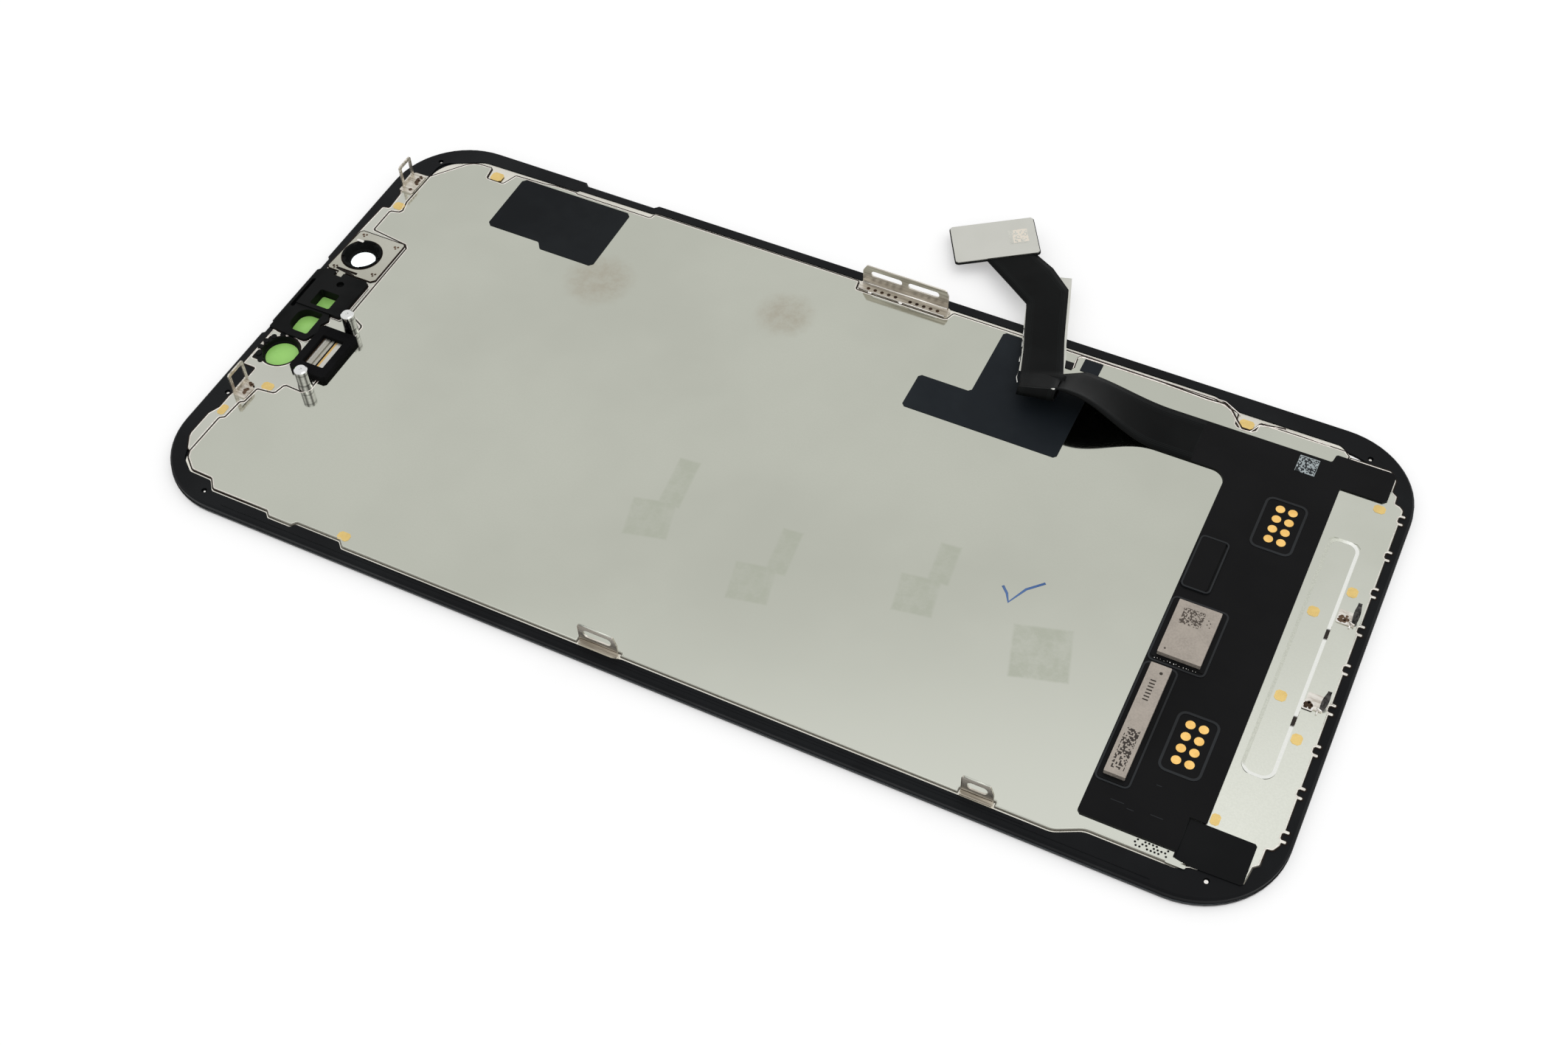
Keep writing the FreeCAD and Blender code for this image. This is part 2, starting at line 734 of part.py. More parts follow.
def make_windows():
    plate_body("square_window", [square_outline(-dim.fit_gap)], "Sizes.window_thickness", print_back)
    plate_body("half_round_window", [half_round_outline(-dim.fit_gap)], "Sizes.window_thickness", print_back)
    plate_body("round_window", [circle(round_x, round_y, dim.round_window_radius)],
               "Sizes.window_thickness", print_back)


def revolved_body(name, profile, place, level):
    """Turn a closed profile of radius and height points about an upright axis."""
    body = new_body(name, level)
    body.Placement = Placement(Vector(place[0], place[1], 0), Rotation())
    body.setExpression("Placement.Base.z", level)
    sketch = add_sketch(body, [draw(profile)], "XZ_Plane")
    turn = body.newObject("PartDesign::Revolution", f"{name}_turn")
    turn.Profile = sketch
    turn.ReferenceAxis = (sketch, ["V_Axis"])
    turn.Angle = 360
    return body


def make_camera_ring():
    outer = dim.camera_ring_radius
    inner = dim.camera_window_radius
    height = plate_height - print_back_height + dim.camera_bracket_thickness + dim.camera_ring_rise
    profile = [(inner, 0, 0), (outer, 0, 0), (outer, height, 0.1), (outer - 0.25, height, 0.1),
               (inner + 0.25, 0.35, 0.1), (inner, 0.25, 0.05)]
    body = revolved_body("camera_ring", profile, (camera_x, camera_y), print_back)
    doc.recompute()
    notch = pocket(body, [draw(box_points(outer - 0.45, outer + 0.2, -0.3, 0.3))], "Sizes.camera_ring_rise",
                   height)
    pattern = body.newObject("PartDesign::PolarPattern", "camera_ring_notches")
    pattern.Originals = [notch]
    pattern.Axis = (notch.Profile[0], ["N_Axis"])
    pattern.Angle = 360
    pattern.Occurrences = 5
    body.Tip = pattern
    return body


def make_round_ring():
    outer = dim.round_ring_radius
    inner = dim.round_window_radius + dim.fit_gap
    height = plate_height - print_back_height
    profile = [(inner, 0, 0), (outer, 0, 0), (outer, height, 0), (outer - 0.15, height, 0.05),
               (inner + 0.1, dim.window_thickness + 0.25, 0.05), (inner, dim.window_thickness + 0.2, 0.03)]
    body = revolved_body("round_window_ring", profile, (round_x, round_y), print_back)
    tab_level = height - dim.plate_thickness - dim.tray_thickness
    for tab in ring_tabs():
        local = [(x - round_x, y - round_y, radius) for x, y, radius in tab]
        pad(body, [draw(local)], "Sizes.tray_thickness + Sizes.plate_thickness", offset=tab_level)
    doc.recompute()
    pocket(body, [circle(0, 0, inner + 0.1)], "Sizes.tray_thickness + Sizes.plate_thickness + 0.01", height)
    return body


def make_camera_bracket():
    outline = [mid_left(1.3, 5.45, 0.5), mid_left(8.5, 5.45, 0.8), mid_left(8.5, 13.1, 0.4),
               mid_left(1.7, 13.1, 0.6)]
    body = plate_body("camera_bracket", [draw(outline)], "Sizes.camera_bracket_thickness", on_plate)
    tab = box_points(-half_length + 3.2, -half_length + 4.2, across(4.4), across(5.7), 0.15)
    pad(body, [draw(tab)], "Sizes.camera_bracket_thickness")
    top = dim.camera_bracket_thickness
    pocket(body, [circle(camera_x, camera_y, dim.camera_ring_radius + dim.fit_gap)],
           "Sizes.camera_bracket_thickness", top)
    relief = box_points(-half_length + 2.6, -half_length + 5.6, across(5.75), across(5.95))
    pocket(body, [draw(relief)], "Sizes.camera_bracket_thickness", top)
    return body


def make_stud(name, inset, y):
    """A post whose foot flares from just above the gasket, so that what it carries clears the rubber."""
    radius = dim.stud_radius
    rise = dim.stud_rise
    flare = dim.gasket_rise + 0.15
    profile = [(0, 0, 0), (radius + 0.1, 0, 0), (radius, flare, 0), (radius, rise, 0.3),
               (0.2, rise, 0), (0.2, rise - 0.15, 0), (0, rise - 0.15, 0)]
    return revolved_body(name, profile, mid_left(inset, y)[:2], on_plate)


def make_gasket():
    outlines = [draw(gasket_box()), draw(gasket_window())]
    body = plate_body("sensor_gasket", outlines, "Sizes.gasket_rise", on_plate)
    dress(body, "Chamfer", "Size", "Sizes.fit_gap", dim.gasket_rise)
    contacts = new_body("gasket_contacts", on_plate)
    pad(contacts, [draw(gasket_window(-dim.fit_gap))], "Sizes.contact_rise")
    x_groove = -half_length + 9.35
    groove = box_points(x_groove, x_groove + 0.25, across(-11.0), across(-5.0))
    pocket(contacts, [draw(groove)], "Sizes.contact_rise * 0.7", dim.contact_rise)
    return body


def make_earpiece_mesh():
    return plate_body("earpiece_mesh", [ear_slot(-dim.fit_gap)], "Sizes.glass_thickness * 0.4",
                      "Sizes.glass_thickness * 0.5")


# Driver board, its chips and contacts
def make_driver_board():
    outline = [
        near_right(21.7, 4.9, 0.6), near_right(10.8, 4.9, 0.2), near_right(10.8, 9.25),
        near_right(8.9, 9.25, 0.2), far_right(8.9, 9.6, 0.2), far_right(3.4, 9.6, 0.8),
        far_right(3.4, 4.8, 0.8), far_right(10.7, 4.8, 0.3), far_right(10.9, 6.1, 0.3),
        far_right(flex_root_inset, 6.1), far_right(flex_root_inset, 12.9), far_right(21.7, 12.9, 1.8),
    ]
    body = plate_body("driver_board", [draw(outline)], "Sizes.board_thickness", on_plate)
    embosses = [
        box_points(half_length - 21.5, half_length - 18.4, across(3.3), across(11.1), 0.4),
        box_points(half_length - 21.3, half_length - 15.0, across(-7.3), across(1.3), 0.4),
        box_points(half_length - 21.3, half_length - 17.9, across(-24.3), across(-8.0), 0.4),
    ]
    level = dim.board_thickness
    pad(body, [draw(embosses[0])], "Sizes.board_rib_rise", offset=level)
    for emboss in embosses[1:]:
        pad(body, [draw(emboss)], "Sizes.board_rib_rise * 0.35", offset=level)
    return body


def make_chips():
    level = f"{on_plate} + Sizes.board_thickness + Sizes.board_rib_rise * 0.35"
    chips = {
        "driver_chip_square": (20.7, 15.7, -6.9, 0.9),
        "driver_chip_long": (20.8, 18.4, -23.7, -8.5),
    }
    for name, (inset_low, inset_high, y_low, y_high) in chips.items():
        points = box_points(half_length - inset_low, half_length - inset_high,
                            across(y_low), across(y_high), 0.1)
        plate_body(name, [draw(points)], "Sizes.chip_rise", level)


def disc(x, y, level, radius, thickness, sides=16):
    """A small round pad with flat sides."""
    points = []
    for side in range(sides + 1):
        angle = 2 * math.pi * side / sides
        points.append(Vector(x + radius * math.cos(angle), y + radius * math.sin(angle), level))
    return Part.Face(Part.makePolygon(points)).extrude(Vector(0, 0, thickness))


def make_contacts():
    columns = (half_length - 14.33, half_length - 12.83)
    rows = {
        "contact_pads_far": (18.5, 16.92, 15.34, 13.76),
        "contact_pads_near": (-14.1, -15.7, -17.3, -18.9),
    }
    level = plate_height + dim.board_thickness
    for name, y_places in rows.items():
        pads = [disc(x, across(y), level, dim.contact_radius, dim.contact_thickness)
                for x in columns for y in y_places]
        shape_part(name, Part.makeCompound(pads))


def flat_pads(places, level):
    """Gold pads, each given by its middle, with its corner radius, and its two sides."""
    solids = []
    for (x, y, radius), length, width in places:
        points = box_points(x - length / 2, x + length / 2, y - width / 2, y + width / 2, radius)
        wire = Part.Wire([piece.toShape() for piece in draw(points)])
        wire.translate(Vector(0, 0, level))
        solids.append(Part.Face(wire).extrude(Vector(0, 0, dim.pad_thickness)))
    return solids


def make_pads():
    on_plates = flat_pads([
        (far_left(3.6, 14.9, 0.5), 1.5, 1.3), (far_left(12.7, 4.4, 0.5), 1.7, 1.5),
        (mid_left(6.4, -15.3, 0.5), 1.6, 1.2), (near_left(3.55, 13.3, 0.4), 1.0, 1.6),
        (near_left(28.3, 3.0, 0.5), 1.6, 1.2), (far_right(21.9, 4.5, 0.5), 1.8, 1.3),
    ], plate_height)
    beside_channel = flat_pads([
        (mid_right(3.9, 23.5, 0.5), 1.4, 1.2), (mid_right(3.45, 10.5, 0.5), 1.2, 1.4),
        (mid_right(3.5, -10.9, 0.5), 1.2, 1.4), (mid_right(8.3, -23.9, 0.4), 1.0, 1.4),
    ], plate_height)
    in_channel = flat_pads([
        (mid_right(6.7, 6.2, 0.5), 1.3, 1.4), (mid_right(6.7, -6.2, 0.5), 1.3, 1.4),
    ], plate_height - dim.channel_depth)
    shape_part("ground_pads", Part.makeCompound(on_plates))
    shape_part("bracket_pads", Part.makeCompound(beside_channel + in_channel))


def make_tapes():
    thickness = "Sizes.tape_thickness"
    upper = [far_left(16.3, 13.0, 0.8), far_left(24.2, 13.0, 0.5), far_left(25.0, 14.1, 0.5),
             far_left(32.9, 14.1, 0.8), far_left(32.9, 3.3, 0.8), far_left(16.3, 3.3, 0.8)]
    plate_body("tape_upper", [draw(upper)], thickness, on_plate)
    angled = [far_right(61.1, 19.2, 0.6), far_right(40.9, 19.2, 0.6), far_right(40.9, 7.0, 0.4),
              far_right(46.2, 7.0, 0.4), far_right(46.2, 2.6, 0.4), far_right(54.2, 2.6, 0.6),
              far_right(54.2, 13.6, 0.6), far_right(61.1, 13.6, 0.6)]
    plate_body("tape_flex", [draw(angled)], thickness, on_plate)
    scrap = [far_right(43.3, 4.7, 0.15), far_right(40.9, 4.7, 0.15), far_right(40.9, 2.6, 0.15),
             far_right(43.3, 2.6, 0.15)]
    plate_body("tape_scrap", [draw(scrap)], thickness, on_plate)
    corner = [near_right(10.75, 4.2, 0.2), near_right(9.0, 3.85), near_right(3.4, 4.0, 0.4),
              near_right(3.4, 9.2, 0.4), near_right(10.75, 9.2, 0.0)]
    plate_body("corner_tape", [draw(corner)], thickness, on_plate)
    label = [far_right(14.6, 9.2), far_right(12.2, 9.2), far_right(12.2, 6.6), far_right(14.6, 6.6)]
    plate_body("code_label", [draw(label)], "Sizes.label_thickness", f"{on_plate} + Sizes.board_thickness")


# Flexible circuits
flex_root_inset = 26.2
flex_flat_length = 4.4
flex_arch_length = 11.4
flex_near = half_width - across(12.9)
flex_far = half_width - across(6.1)
stiffener_centre = Vector(half_length - 61.3, half_width + across(11.6), 2.41)
stiffener_turn = Rotation(29.6, -4.97, -2.82)


def folded_sheet(pairs, thickness):
    """Thin sheet through cross-lines, each given by its two ends on the upper face."""
    drop = Vector(0, 0, -thickness)
    outlines = []
    for (first, second), (next_first, next_second) in zip(pairs, pairs[1:]):
        for shift in (Vector(0, 0, 0), drop):
            outlines.append([first + shift, second + shift, next_second + shift])
            outlines.append([first + shift, next_second + shift, next_first + shift])
        outlines.append([first, next_first, next_first + drop, first + drop])
        outlines.append([second, next_second, next_second + drop, second + drop])
    for first, second in (pairs[0], pairs[-1]):
        outlines.append([first, second, second + drop, first + drop])
    faces = [Part.Face(Part.makePolygon(points + points[:1])) for points in outlines]
    return Part.makeSolid(Part.Shell(faces))


def tilted_plate(length, width, thickness, top_drop, radius, centre_shift=Vector(0, 0, 0)):
    """Rounded plate in the stiffener's tilted plane, its top so far below that plane."""
    points = box_points(-length / 2, length / 2, -width / 2, width / 2, radius)
    wire = Part.Wire([piece.toShape() for piece in draw(points)])
    solid = Part.Face(wire).extrude(Vector(0, 0, -thickness))
    solid.translate(Vector(0, 0, -top_drop) + centre_shift)
    solid.Placement = Placement(stiffener_centre, stiffener_turn).multiply(solid.Placement)
    return solid


def on_tail(inset, beyond, z):
    """A point of the tail, placed from the driver end and from the far edge of the glass."""
    return Vector(half_length - inset, half_width + across(beyond), z)


def make_display_flex():
    base = plate_height + dim.flex_thickness
    crest = dim.flex_crest
    root_x = half_length - flex_root_inset
    crease_near = Vector(root_x - 17.55, flex_near + 0.2, crest - 0.3)
    crease_far = Vector(root_x - 18.3, flex_far - 1.5, crest * 0.515)
    pairs = []
    stations = 13
    for station in range(stations):
        climb = station / (stations - 1)
        share = 0.5 - 0.5 * math.cos(math.pi * climb)
        x = root_x - flex_flat_length - flex_arch_length * climb
        near_z = base + (crest - base) * share
        far_z = base + (crest * 0.51 - base) * share
        pairs.append((Vector(x, flex_near, near_z), Vector(x, flex_far, far_z)))
    root = (Vector(root_x, flex_near, base), Vector(root_x, flex_far, base))
    flat = folded_sheet([root, pairs[0]], dim.flex_thickness)
    pairs.append((crease_near, crease_far))
    hump = folded_sheet(pairs, dim.flex_thickness)
    leg_pairs = [
        (on_tail(48.5, -12.7, 4.4), crease_near),
        (on_tail(49.2, -10.1, 3.9), crease_far),
        (on_tail(50.55, -5.5, 3.4), on_tail(45.65, -4.35, 3.15)),
        (on_tail(51.9, -1.6, 3.2), on_tail(46.55, -1.8, 3.1)),
        (on_tail(53.1, 2.0, 3.0), on_tail(49.1, 6.45, 3.0)),
        (on_tail(56.6, 4.6, 2.75), on_tail(52.3, 9.3, 2.95)),
        (on_tail(60.9, 7.9, 2.22), on_tail(55.05, 10.9, 2.76)),
        (on_tail(61.3, 8.6, 2.18), on_tail(55.45, 11.6, 2.72)),
    ]
    leg = folded_sheet(leg_pairs, dim.flex_thickness)
    tail = tilted_plate(dim.stiffener_length + 0.25, dim.stiffener_width + 0.25, dim.flex_thickness,
                        dim.stiffener_thickness, 0.5)
    joined = hump.fuse([flat, leg, tail]).removeSplitter()
    return shape_part("display_flex", joined.Solids[0] if len(joined.Solids) == 1 else joined)


def make_tail_end():
    shape_part("flex_stiffener", tilted_plate(dim.stiffener_length, dim.stiffener_width,
                                              dim.stiffener_thickness, 0, 0.45))
    below = dim.stiffener_thickness + dim.flex_thickness
    shape_part("display_connector", tilted_plate(8.6, 2.6, dim.connector_height, below, 0.2,
                                                 Vector(0, 0.6, 0)))


def make_touch_flex():
    gap = 0.1
    drop = dim.flex_thickness + gap
    width = dim.touch_flex_width
    over = Vector(-math.cos(math.radians(16.6)), -math.sin(math.radians(16.6)), 0)
    right_edge = [on_tail(44.45, -7.6, 3.35 - drop), on_tail(45.3, -4.4, 3.15 - drop),
                  on_tail(46.05, -2.4, 3.1 - drop), on_tail(48.3, 5.0, 3.0 - drop),
                  on_tail(49.6, 9.1, 2.72 - drop)]
    pairs = [(point + over * width, point) for point in right_edge]
    shape_part("touch_flex", folded_sheet(pairs, dim.touch_flex_thickness))
    end = on_tail(49.6, 9.1, 2.72 - drop - dim.touch_flex_thickness)
    points = box_points(0.7, width - 0.7, 0.4, 2.4, 0.2)
    wire = Part.Wire([piece.toShape() for piece in draw(points)])
    block = Part.Face(wire).extrude(Vector(0, 0, -dim.connector_height))
    block.Placement = Placement(end + Vector(0, 0, -0.02), Rotation(Vector(0, 0, 1), 196.6))
    shape_part("touch_connector", block)


# Sheet metal uprights: a foot flat on the plate and a leaf that stands up with its slots
def upright_body(name, level, foot, leaf, slots, y_back):
    body = new_body(name, level)
    pad(body, [draw(foot)], "Sizes.clip_metal")
    pad(body, [draw(leaf)] + slots, "Sizes.clip_metal", "XZ_Plane", -y_back)
    return body


def make_side_clip(name, inset, length, leaf_rise):
    rise = dim.clip_rise
    x_high = half_length - inset
    x_low = x_high - length
    y_leaf = -half_width + across(leaf_rise)
    foot = box_points(x_low, x_high, y_leaf - 0.6, y_leaf, 0.12)
    leaf = [(x_low, 0, 0), (x_high, 0, 0), (x_high - 0.05, rise * 0.55, 0.3), (x_high - 0.5, rise, 0.25),
            (x_low + 0.1, rise, 0.25)]
    middle = rise * 0.6
    slots = [slot(x_low + 0.7, x_high - 0.75, middle - 0.62, middle + 0.62)]
    return upright_body(name, on_tray, foot, leaf, slots, y_leaf)


def make_slotted_bracket():
    x_low = half_length - 74.1
    x_high = half_length - 62.2
    y_back = half_width - across(1.65)
    foot = [far_right(74.3, 3.15, 0.4), far_right(62.0, 3.3, 0.5), far_right(61.7, 2.2, 0.3),
            far_right(62.0, 1.7, 0.2), far_right(74.3, 1.7, 0.3)]
    rise = dim.bracket_rise + dim.plate_thickness
    leaf = [(x_low, 0, 0), (x_high, 0, 0), (x_high, rise * 0.72, 0.3), (x_high - 0.4, rise, 0.3),
            (x_low + 0.5, rise, 0.3), (x_low, rise * 0.72, 0.3)]
    middle = rise * 0.645
    slot_length = 4.3
    slot_half = 0.48
    slots = [slot(low, low + slot_length, middle - slot_half, middle + slot_half)
             for low in (x_low + 1.15, x_low + 6.3)]
    return upright_body("slotted_bracket", on_tray, foot, leaf, slots, y_back)


def make_corner_hook(name, x_leaf, y_low, y_high, foot):
    body = new_body(name, on_plate)
    pad(body, [draw(foot)], "Sizes.clip_metal")
    rise = dim.hook_rise
    strip = dim.hook_strip
    leaf = box_points(y_low, y_high, 0, rise, 0.35)
    window = box_points(y_low + strip, y_high - strip, strip + 0.1, rise - strip, 0.15)
    pad(body, [draw(leaf), draw(window)], "Sizes.clip_metal", "YZ_Plane", x_leaf)
    return body


def make_corner_hooks():
    far_foot = [far_left(1.95, 12.3, 0.3), far_left(4.0, 12.3, 0.3), far_left(4.0, 8.5, 0.3),
                far_left(2.05, 8.5, 0.3)]
    y_far = half_width - across(9.9)
    make_corner_hook("corner_hook_far", -half_length + 1.95, y_far - 1.6, y_far + 1.1, far_foot)
    near_foot = [mid_left(3.2, -18.3, 0.3), mid_left(5.1, -18.3, 0.3), mid_left(5.1, -16.4, 0.3),
                 mid_left(3.2, -15.2, 0.2)]
    y_near = across(-16.55)
    make_corner_hook("corner_hook_near", -half_length + 3.25, y_near - 1.65, y_near + 1.35, near_foot)


def make_spring_clip(name, y_foot, y_leaf):
    body = new_body(name, on_plate)
    y_foot = across(y_foot)
    y_leaf = across(y_leaf)
    foot_low = min(y_foot - 0.7, y_leaf - 0.8)
    foot_high = max(y_foot + 0.7, y_leaf + 0.8)
    pad(body, [draw(box_points(half_length - 4.1, half_length - 2.0, foot_low, foot_high, 0.2))],
        "Sizes.clip_metal * 0.6")
    leaf = [(y_leaf - 0.8, 0, 0), (y_leaf + 0.8, 0, 0), (y_leaf + 0.6, dim.spring_rise, 0.3),
            (y_leaf - 0.6, dim.spring_rise, 0.3)]
    pad(body, [draw(leaf)], "Sizes.clip_metal * 0.6", "YZ_Plane", half_length - 2.15)
    return body


# Assembly
make_cover_glass()
make_border_print()
make_layer("optical_adhesive", "adhesive", glass_back)
make_layer("display_cell", "cell", top_expression("adhesive"))
make_layer("film_stack", "film", top_expression("cell"))
make_light_guide()
make_led_strip()
make_layer("reflector_sheet", "reflector", top_expression("guide"))
make_backlight_tray()
make_bezel_frame()
make_rear_plate()
make_sensor_plate()
make_end_bracket()
make_sensor_holder()
make_windows()
make_camera_ring()
make_round_ring()
make_camera_bracket()
make_stud("stud_near", 10.7, -13.28)
make_stud("stud_far", 10.7, -2.93)
make_gasket()
make_earpiece_mesh()
make_driver_board()
make_chips()
make_contacts()
make_pads()
make_tapes()
make_display_flex()
make_tail_end()
make_touch_flex()
make_side_clip("side_clip_left", 74.8, 5.0, 2.1)
make_side_clip("side_clip_right", 29.9, 3.8, 2.3)
make_slotted_bracket()
make_corner_hooks()
make_spring_clip("spring_clip_far", 6.5, 6.9)
make_spring_clip("spring_clip_near", -5.9, -5.3)

doc.recompute()
parts = [item for item in doc.Objects if item.TypeId == "PartDesign::Body" or item.TypeId == "Part::Feature"]
for item in doc.Objects:
    if "Invalid" in item.State or "Error" in item.State:
        raise RuntimeError(f"{item.Name} has state {item.State}")
    if item.TypeId == "PartDesign::Pocket":
        removed = item.BaseFeature.Shape.Volume - item.Shape.Volume
        if removed < 1e-4:
            raise RuntimeError(f"{item.Name} cuts nothing")
for part in parts:
    if part.Shape.isNull() or not part.Shape.isValid():
        raise RuntimeError(f"{part.Label} has no valid shape")

os.makedirs("parts", exist_ok=True)
for part in parts:
    part.Shape.exportStep(f"parts/{part.Label}.step")
    print(part.Label, len(part.Shape.Solids), round(part.Shape.Volume, 3))
print(len(parts), "sub-parts")
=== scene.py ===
import json
import random
from math import cos, pi, radians, sin

import bmesh
import bpy
from mathutils import Euler, Matrix, Vector

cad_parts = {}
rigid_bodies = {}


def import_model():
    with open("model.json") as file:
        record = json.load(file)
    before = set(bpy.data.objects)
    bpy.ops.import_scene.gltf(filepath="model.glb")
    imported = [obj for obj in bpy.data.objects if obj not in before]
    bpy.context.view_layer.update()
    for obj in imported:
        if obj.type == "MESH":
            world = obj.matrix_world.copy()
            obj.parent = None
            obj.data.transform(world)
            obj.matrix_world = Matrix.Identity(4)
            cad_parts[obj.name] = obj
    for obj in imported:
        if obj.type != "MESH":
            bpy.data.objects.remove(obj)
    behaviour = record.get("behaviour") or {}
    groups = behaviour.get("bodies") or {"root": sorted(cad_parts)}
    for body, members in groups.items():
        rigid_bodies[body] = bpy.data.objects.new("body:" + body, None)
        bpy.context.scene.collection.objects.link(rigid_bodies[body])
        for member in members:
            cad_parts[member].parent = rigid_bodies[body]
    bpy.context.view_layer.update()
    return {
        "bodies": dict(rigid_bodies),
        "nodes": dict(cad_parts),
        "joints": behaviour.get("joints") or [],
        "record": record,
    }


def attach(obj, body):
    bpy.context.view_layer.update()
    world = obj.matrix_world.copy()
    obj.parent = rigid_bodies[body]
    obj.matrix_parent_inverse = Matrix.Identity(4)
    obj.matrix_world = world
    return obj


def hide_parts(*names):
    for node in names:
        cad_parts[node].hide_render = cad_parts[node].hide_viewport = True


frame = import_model()
nodes = frame["nodes"]
mm = 0.001  # every measure below is in millimetres until it meets this


def point(x, y, z=0.0):
    return Vector((x * mm, y * mm, z * mm))


def addObject(name, data):
    made = bpy.data.objects.new(name, data)
    bpy.context.scene.collection.objects.link(made)
    return made


def tone(red, green, blue):
    # a colour as seen on screen, 0 to 255, turned into scene-linear
    channels = []
    for channel in (red, green, blue):
        share = channel / 255
        channels.append(share / 12.92 if share <= 0.04045 else ((share + 0.055) / 1.055) ** 2.4)
    return (*channels, 1.0)


def addNode(tree, kind, **settings):
    made = tree.nodes.new("ShaderNode" + kind)
    for name, value in settings.items():
        setattr(made, name, value)
    return made


def feed(tree, target, value):
    # a socket takes either a link or a plain value
    if isinstance(value, bpy.types.NodeSocket):
        tree.links.new(value, target)
    else:
        target.default_value = value


def calc(tree, operation, first, second=0.0):
    made = addNode(tree, "Math", operation=operation)
    feed(tree, made.inputs[0], first)
    feed(tree, made.inputs[1], second)
    return made.outputs[0]


def times(tree, first, second):
    return calc(tree, "MULTIPLY", first, second)


def vectorCalc(tree, operation, first, second=(0, 0, 0)):
    made = addNode(tree, "VectorMath", operation=operation)
    feed(tree, made.inputs[0], first)
    feed(tree, made.inputs[1], second)
    return made.outputs["Value" if operation == "LENGTH" else "Vector"]


def spread(tree, value, low, high, toLow=0.0, toHigh=1.0, smooth=True):
    made = addNode(tree, "MapRange", interpolation_type="SMOOTHSTEP" if smooth else "LINEAR")
    settings = {"Value": value, "From Min": low, "From Max": high, "To Min": toLow, "To Max": toHigh}
    for name, setting in settings.items():
        feed(tree, made.inputs[name], setting)
    return made.outputs["Result"]


def within(tree, value, low, high, soft):
    # 1 from low to high, fading over soft on either side
    rising = spread(tree, value, low - soft, low)
    return times(tree, rising, spread(tree, value, high, high + soft, 1.0, 0.0))


def noiseAt(tree, vector, scale, detail=3.0, roughness=0.5):
    made = addNode(tree, "TexNoise")
    feed(tree, made.inputs["Vector"], vector)
    feed(tree, made.inputs["Scale"], scale)
    made.inputs["Detail"].default_value = detail
    made.inputs["Roughness"].default_value = roughness
    return made.outputs["Fac"]


def mixColor(tree, share, first, second):
    # a colour is a socket, three channels as seen on screen, or four that are scene-linear
    made = addNode(tree, "Mix", data_type="RGBA")
    feed(tree, made.inputs[0], share)
    for index, color in ((6, first), (7, second)):
        if isinstance(color, tuple) and len(color) == 3:
            color = tone(*color)
        feed(tree, made.inputs[index], color)
    return made.outputs[2]


def axesOf(tree, vector):
    split = addNode(tree, "SeparateXYZ")
    tree.links.new(vector, split.inputs[0])
    return split.outputs


def ownPlace(tree, place, origin, turn):
    # place as seen from that origin, turned by those degrees
    mapping = addNode(tree, "Mapping", vector_type="TEXTURE")
    mapping.inputs["Location"].default_value = point(*origin)
    mapping.inputs["Rotation"].default_value = [radians(angle) for angle in turn]
    tree.links.new(place, mapping.inputs["Vector"])
    return mapping.outputs[0]


def newGroup(name, inputs, outputs):
    # each input starts at a number or a vector, each output is a number
    tree = bpy.data.node_groups.new(name, "ShaderNodeTree")
    for label, value in inputs.items():
        kind = "NodeSocketFloat" if isinstance(value, float) else "NodeSocketVector"
        socket = tree.interface.new_socket(name=label, in_out="INPUT", socket_type=kind)
        socket.default_value = value
    for label in outputs:
        tree.interface.new_socket(name=label, in_out="OUTPUT", socket_type="NodeSocketFloat")
    return tree, tree.nodes.new("NodeGroupInput").outputs, tree.nodes.new("NodeGroupOutput").inputs


def placeGroup(tree, group, **settings):
    made = addNode(tree, "Group", node_tree=group)
    for name, value in settings.items():
        feed(tree, made.inputs[name], value)
    return made.outputs


def makeGrain():
    # fine satin grain, with broad handling smudges under it
    settings = {"Vector": (0, 0, 0), "Grain": 4000.0, "Smudge": 45.0}
    tree, source, sink = newGroup("satinGrain", settings, ("Height", "Speckle", "Smudges"))
    fine = noiseAt(tree, source["Vector"], source["Grain"], 2.0)
    broad = noiseAt(tree, source["Vector"], source["Smudge"], 4.0, 0.6)
    tree.links.new(fine, sink["Height"])
    tree.links.new(spread(tree, fine, 0.35, 0.65), sink["Speckle"])
    tree.links.new(spread(tree, broad, 0.35, 0.68), sink["Smudges"])
    return tree


def makeBrushing():
    # rolled or brushed lines along X, drawn out by Stretch
    settings = {"Vector": (0, 0, 0), "Lines": 3000.0, "Stretch": 0.04}
    tree, source, sink = newGroup("brushedLines", settings, ("Height", "Lines"))
    combine = addNode(tree, "CombineXYZ")
    for target, value in zip(combine.inputs, (source["Stretch"], 1.0, 1.0)):
        feed(tree, target, value)
    drawn = vectorCalc(tree, "MULTIPLY", source["Vector"], combine.outputs[0])
    fine = noiseAt(tree, drawn, source["Lines"], 3.0, 0.6)
    tree.links.new(fine, sink["Height"])
    tree.links.new(spread(tree, fine, 0.3, 0.7), sink["Lines"])
    return tree


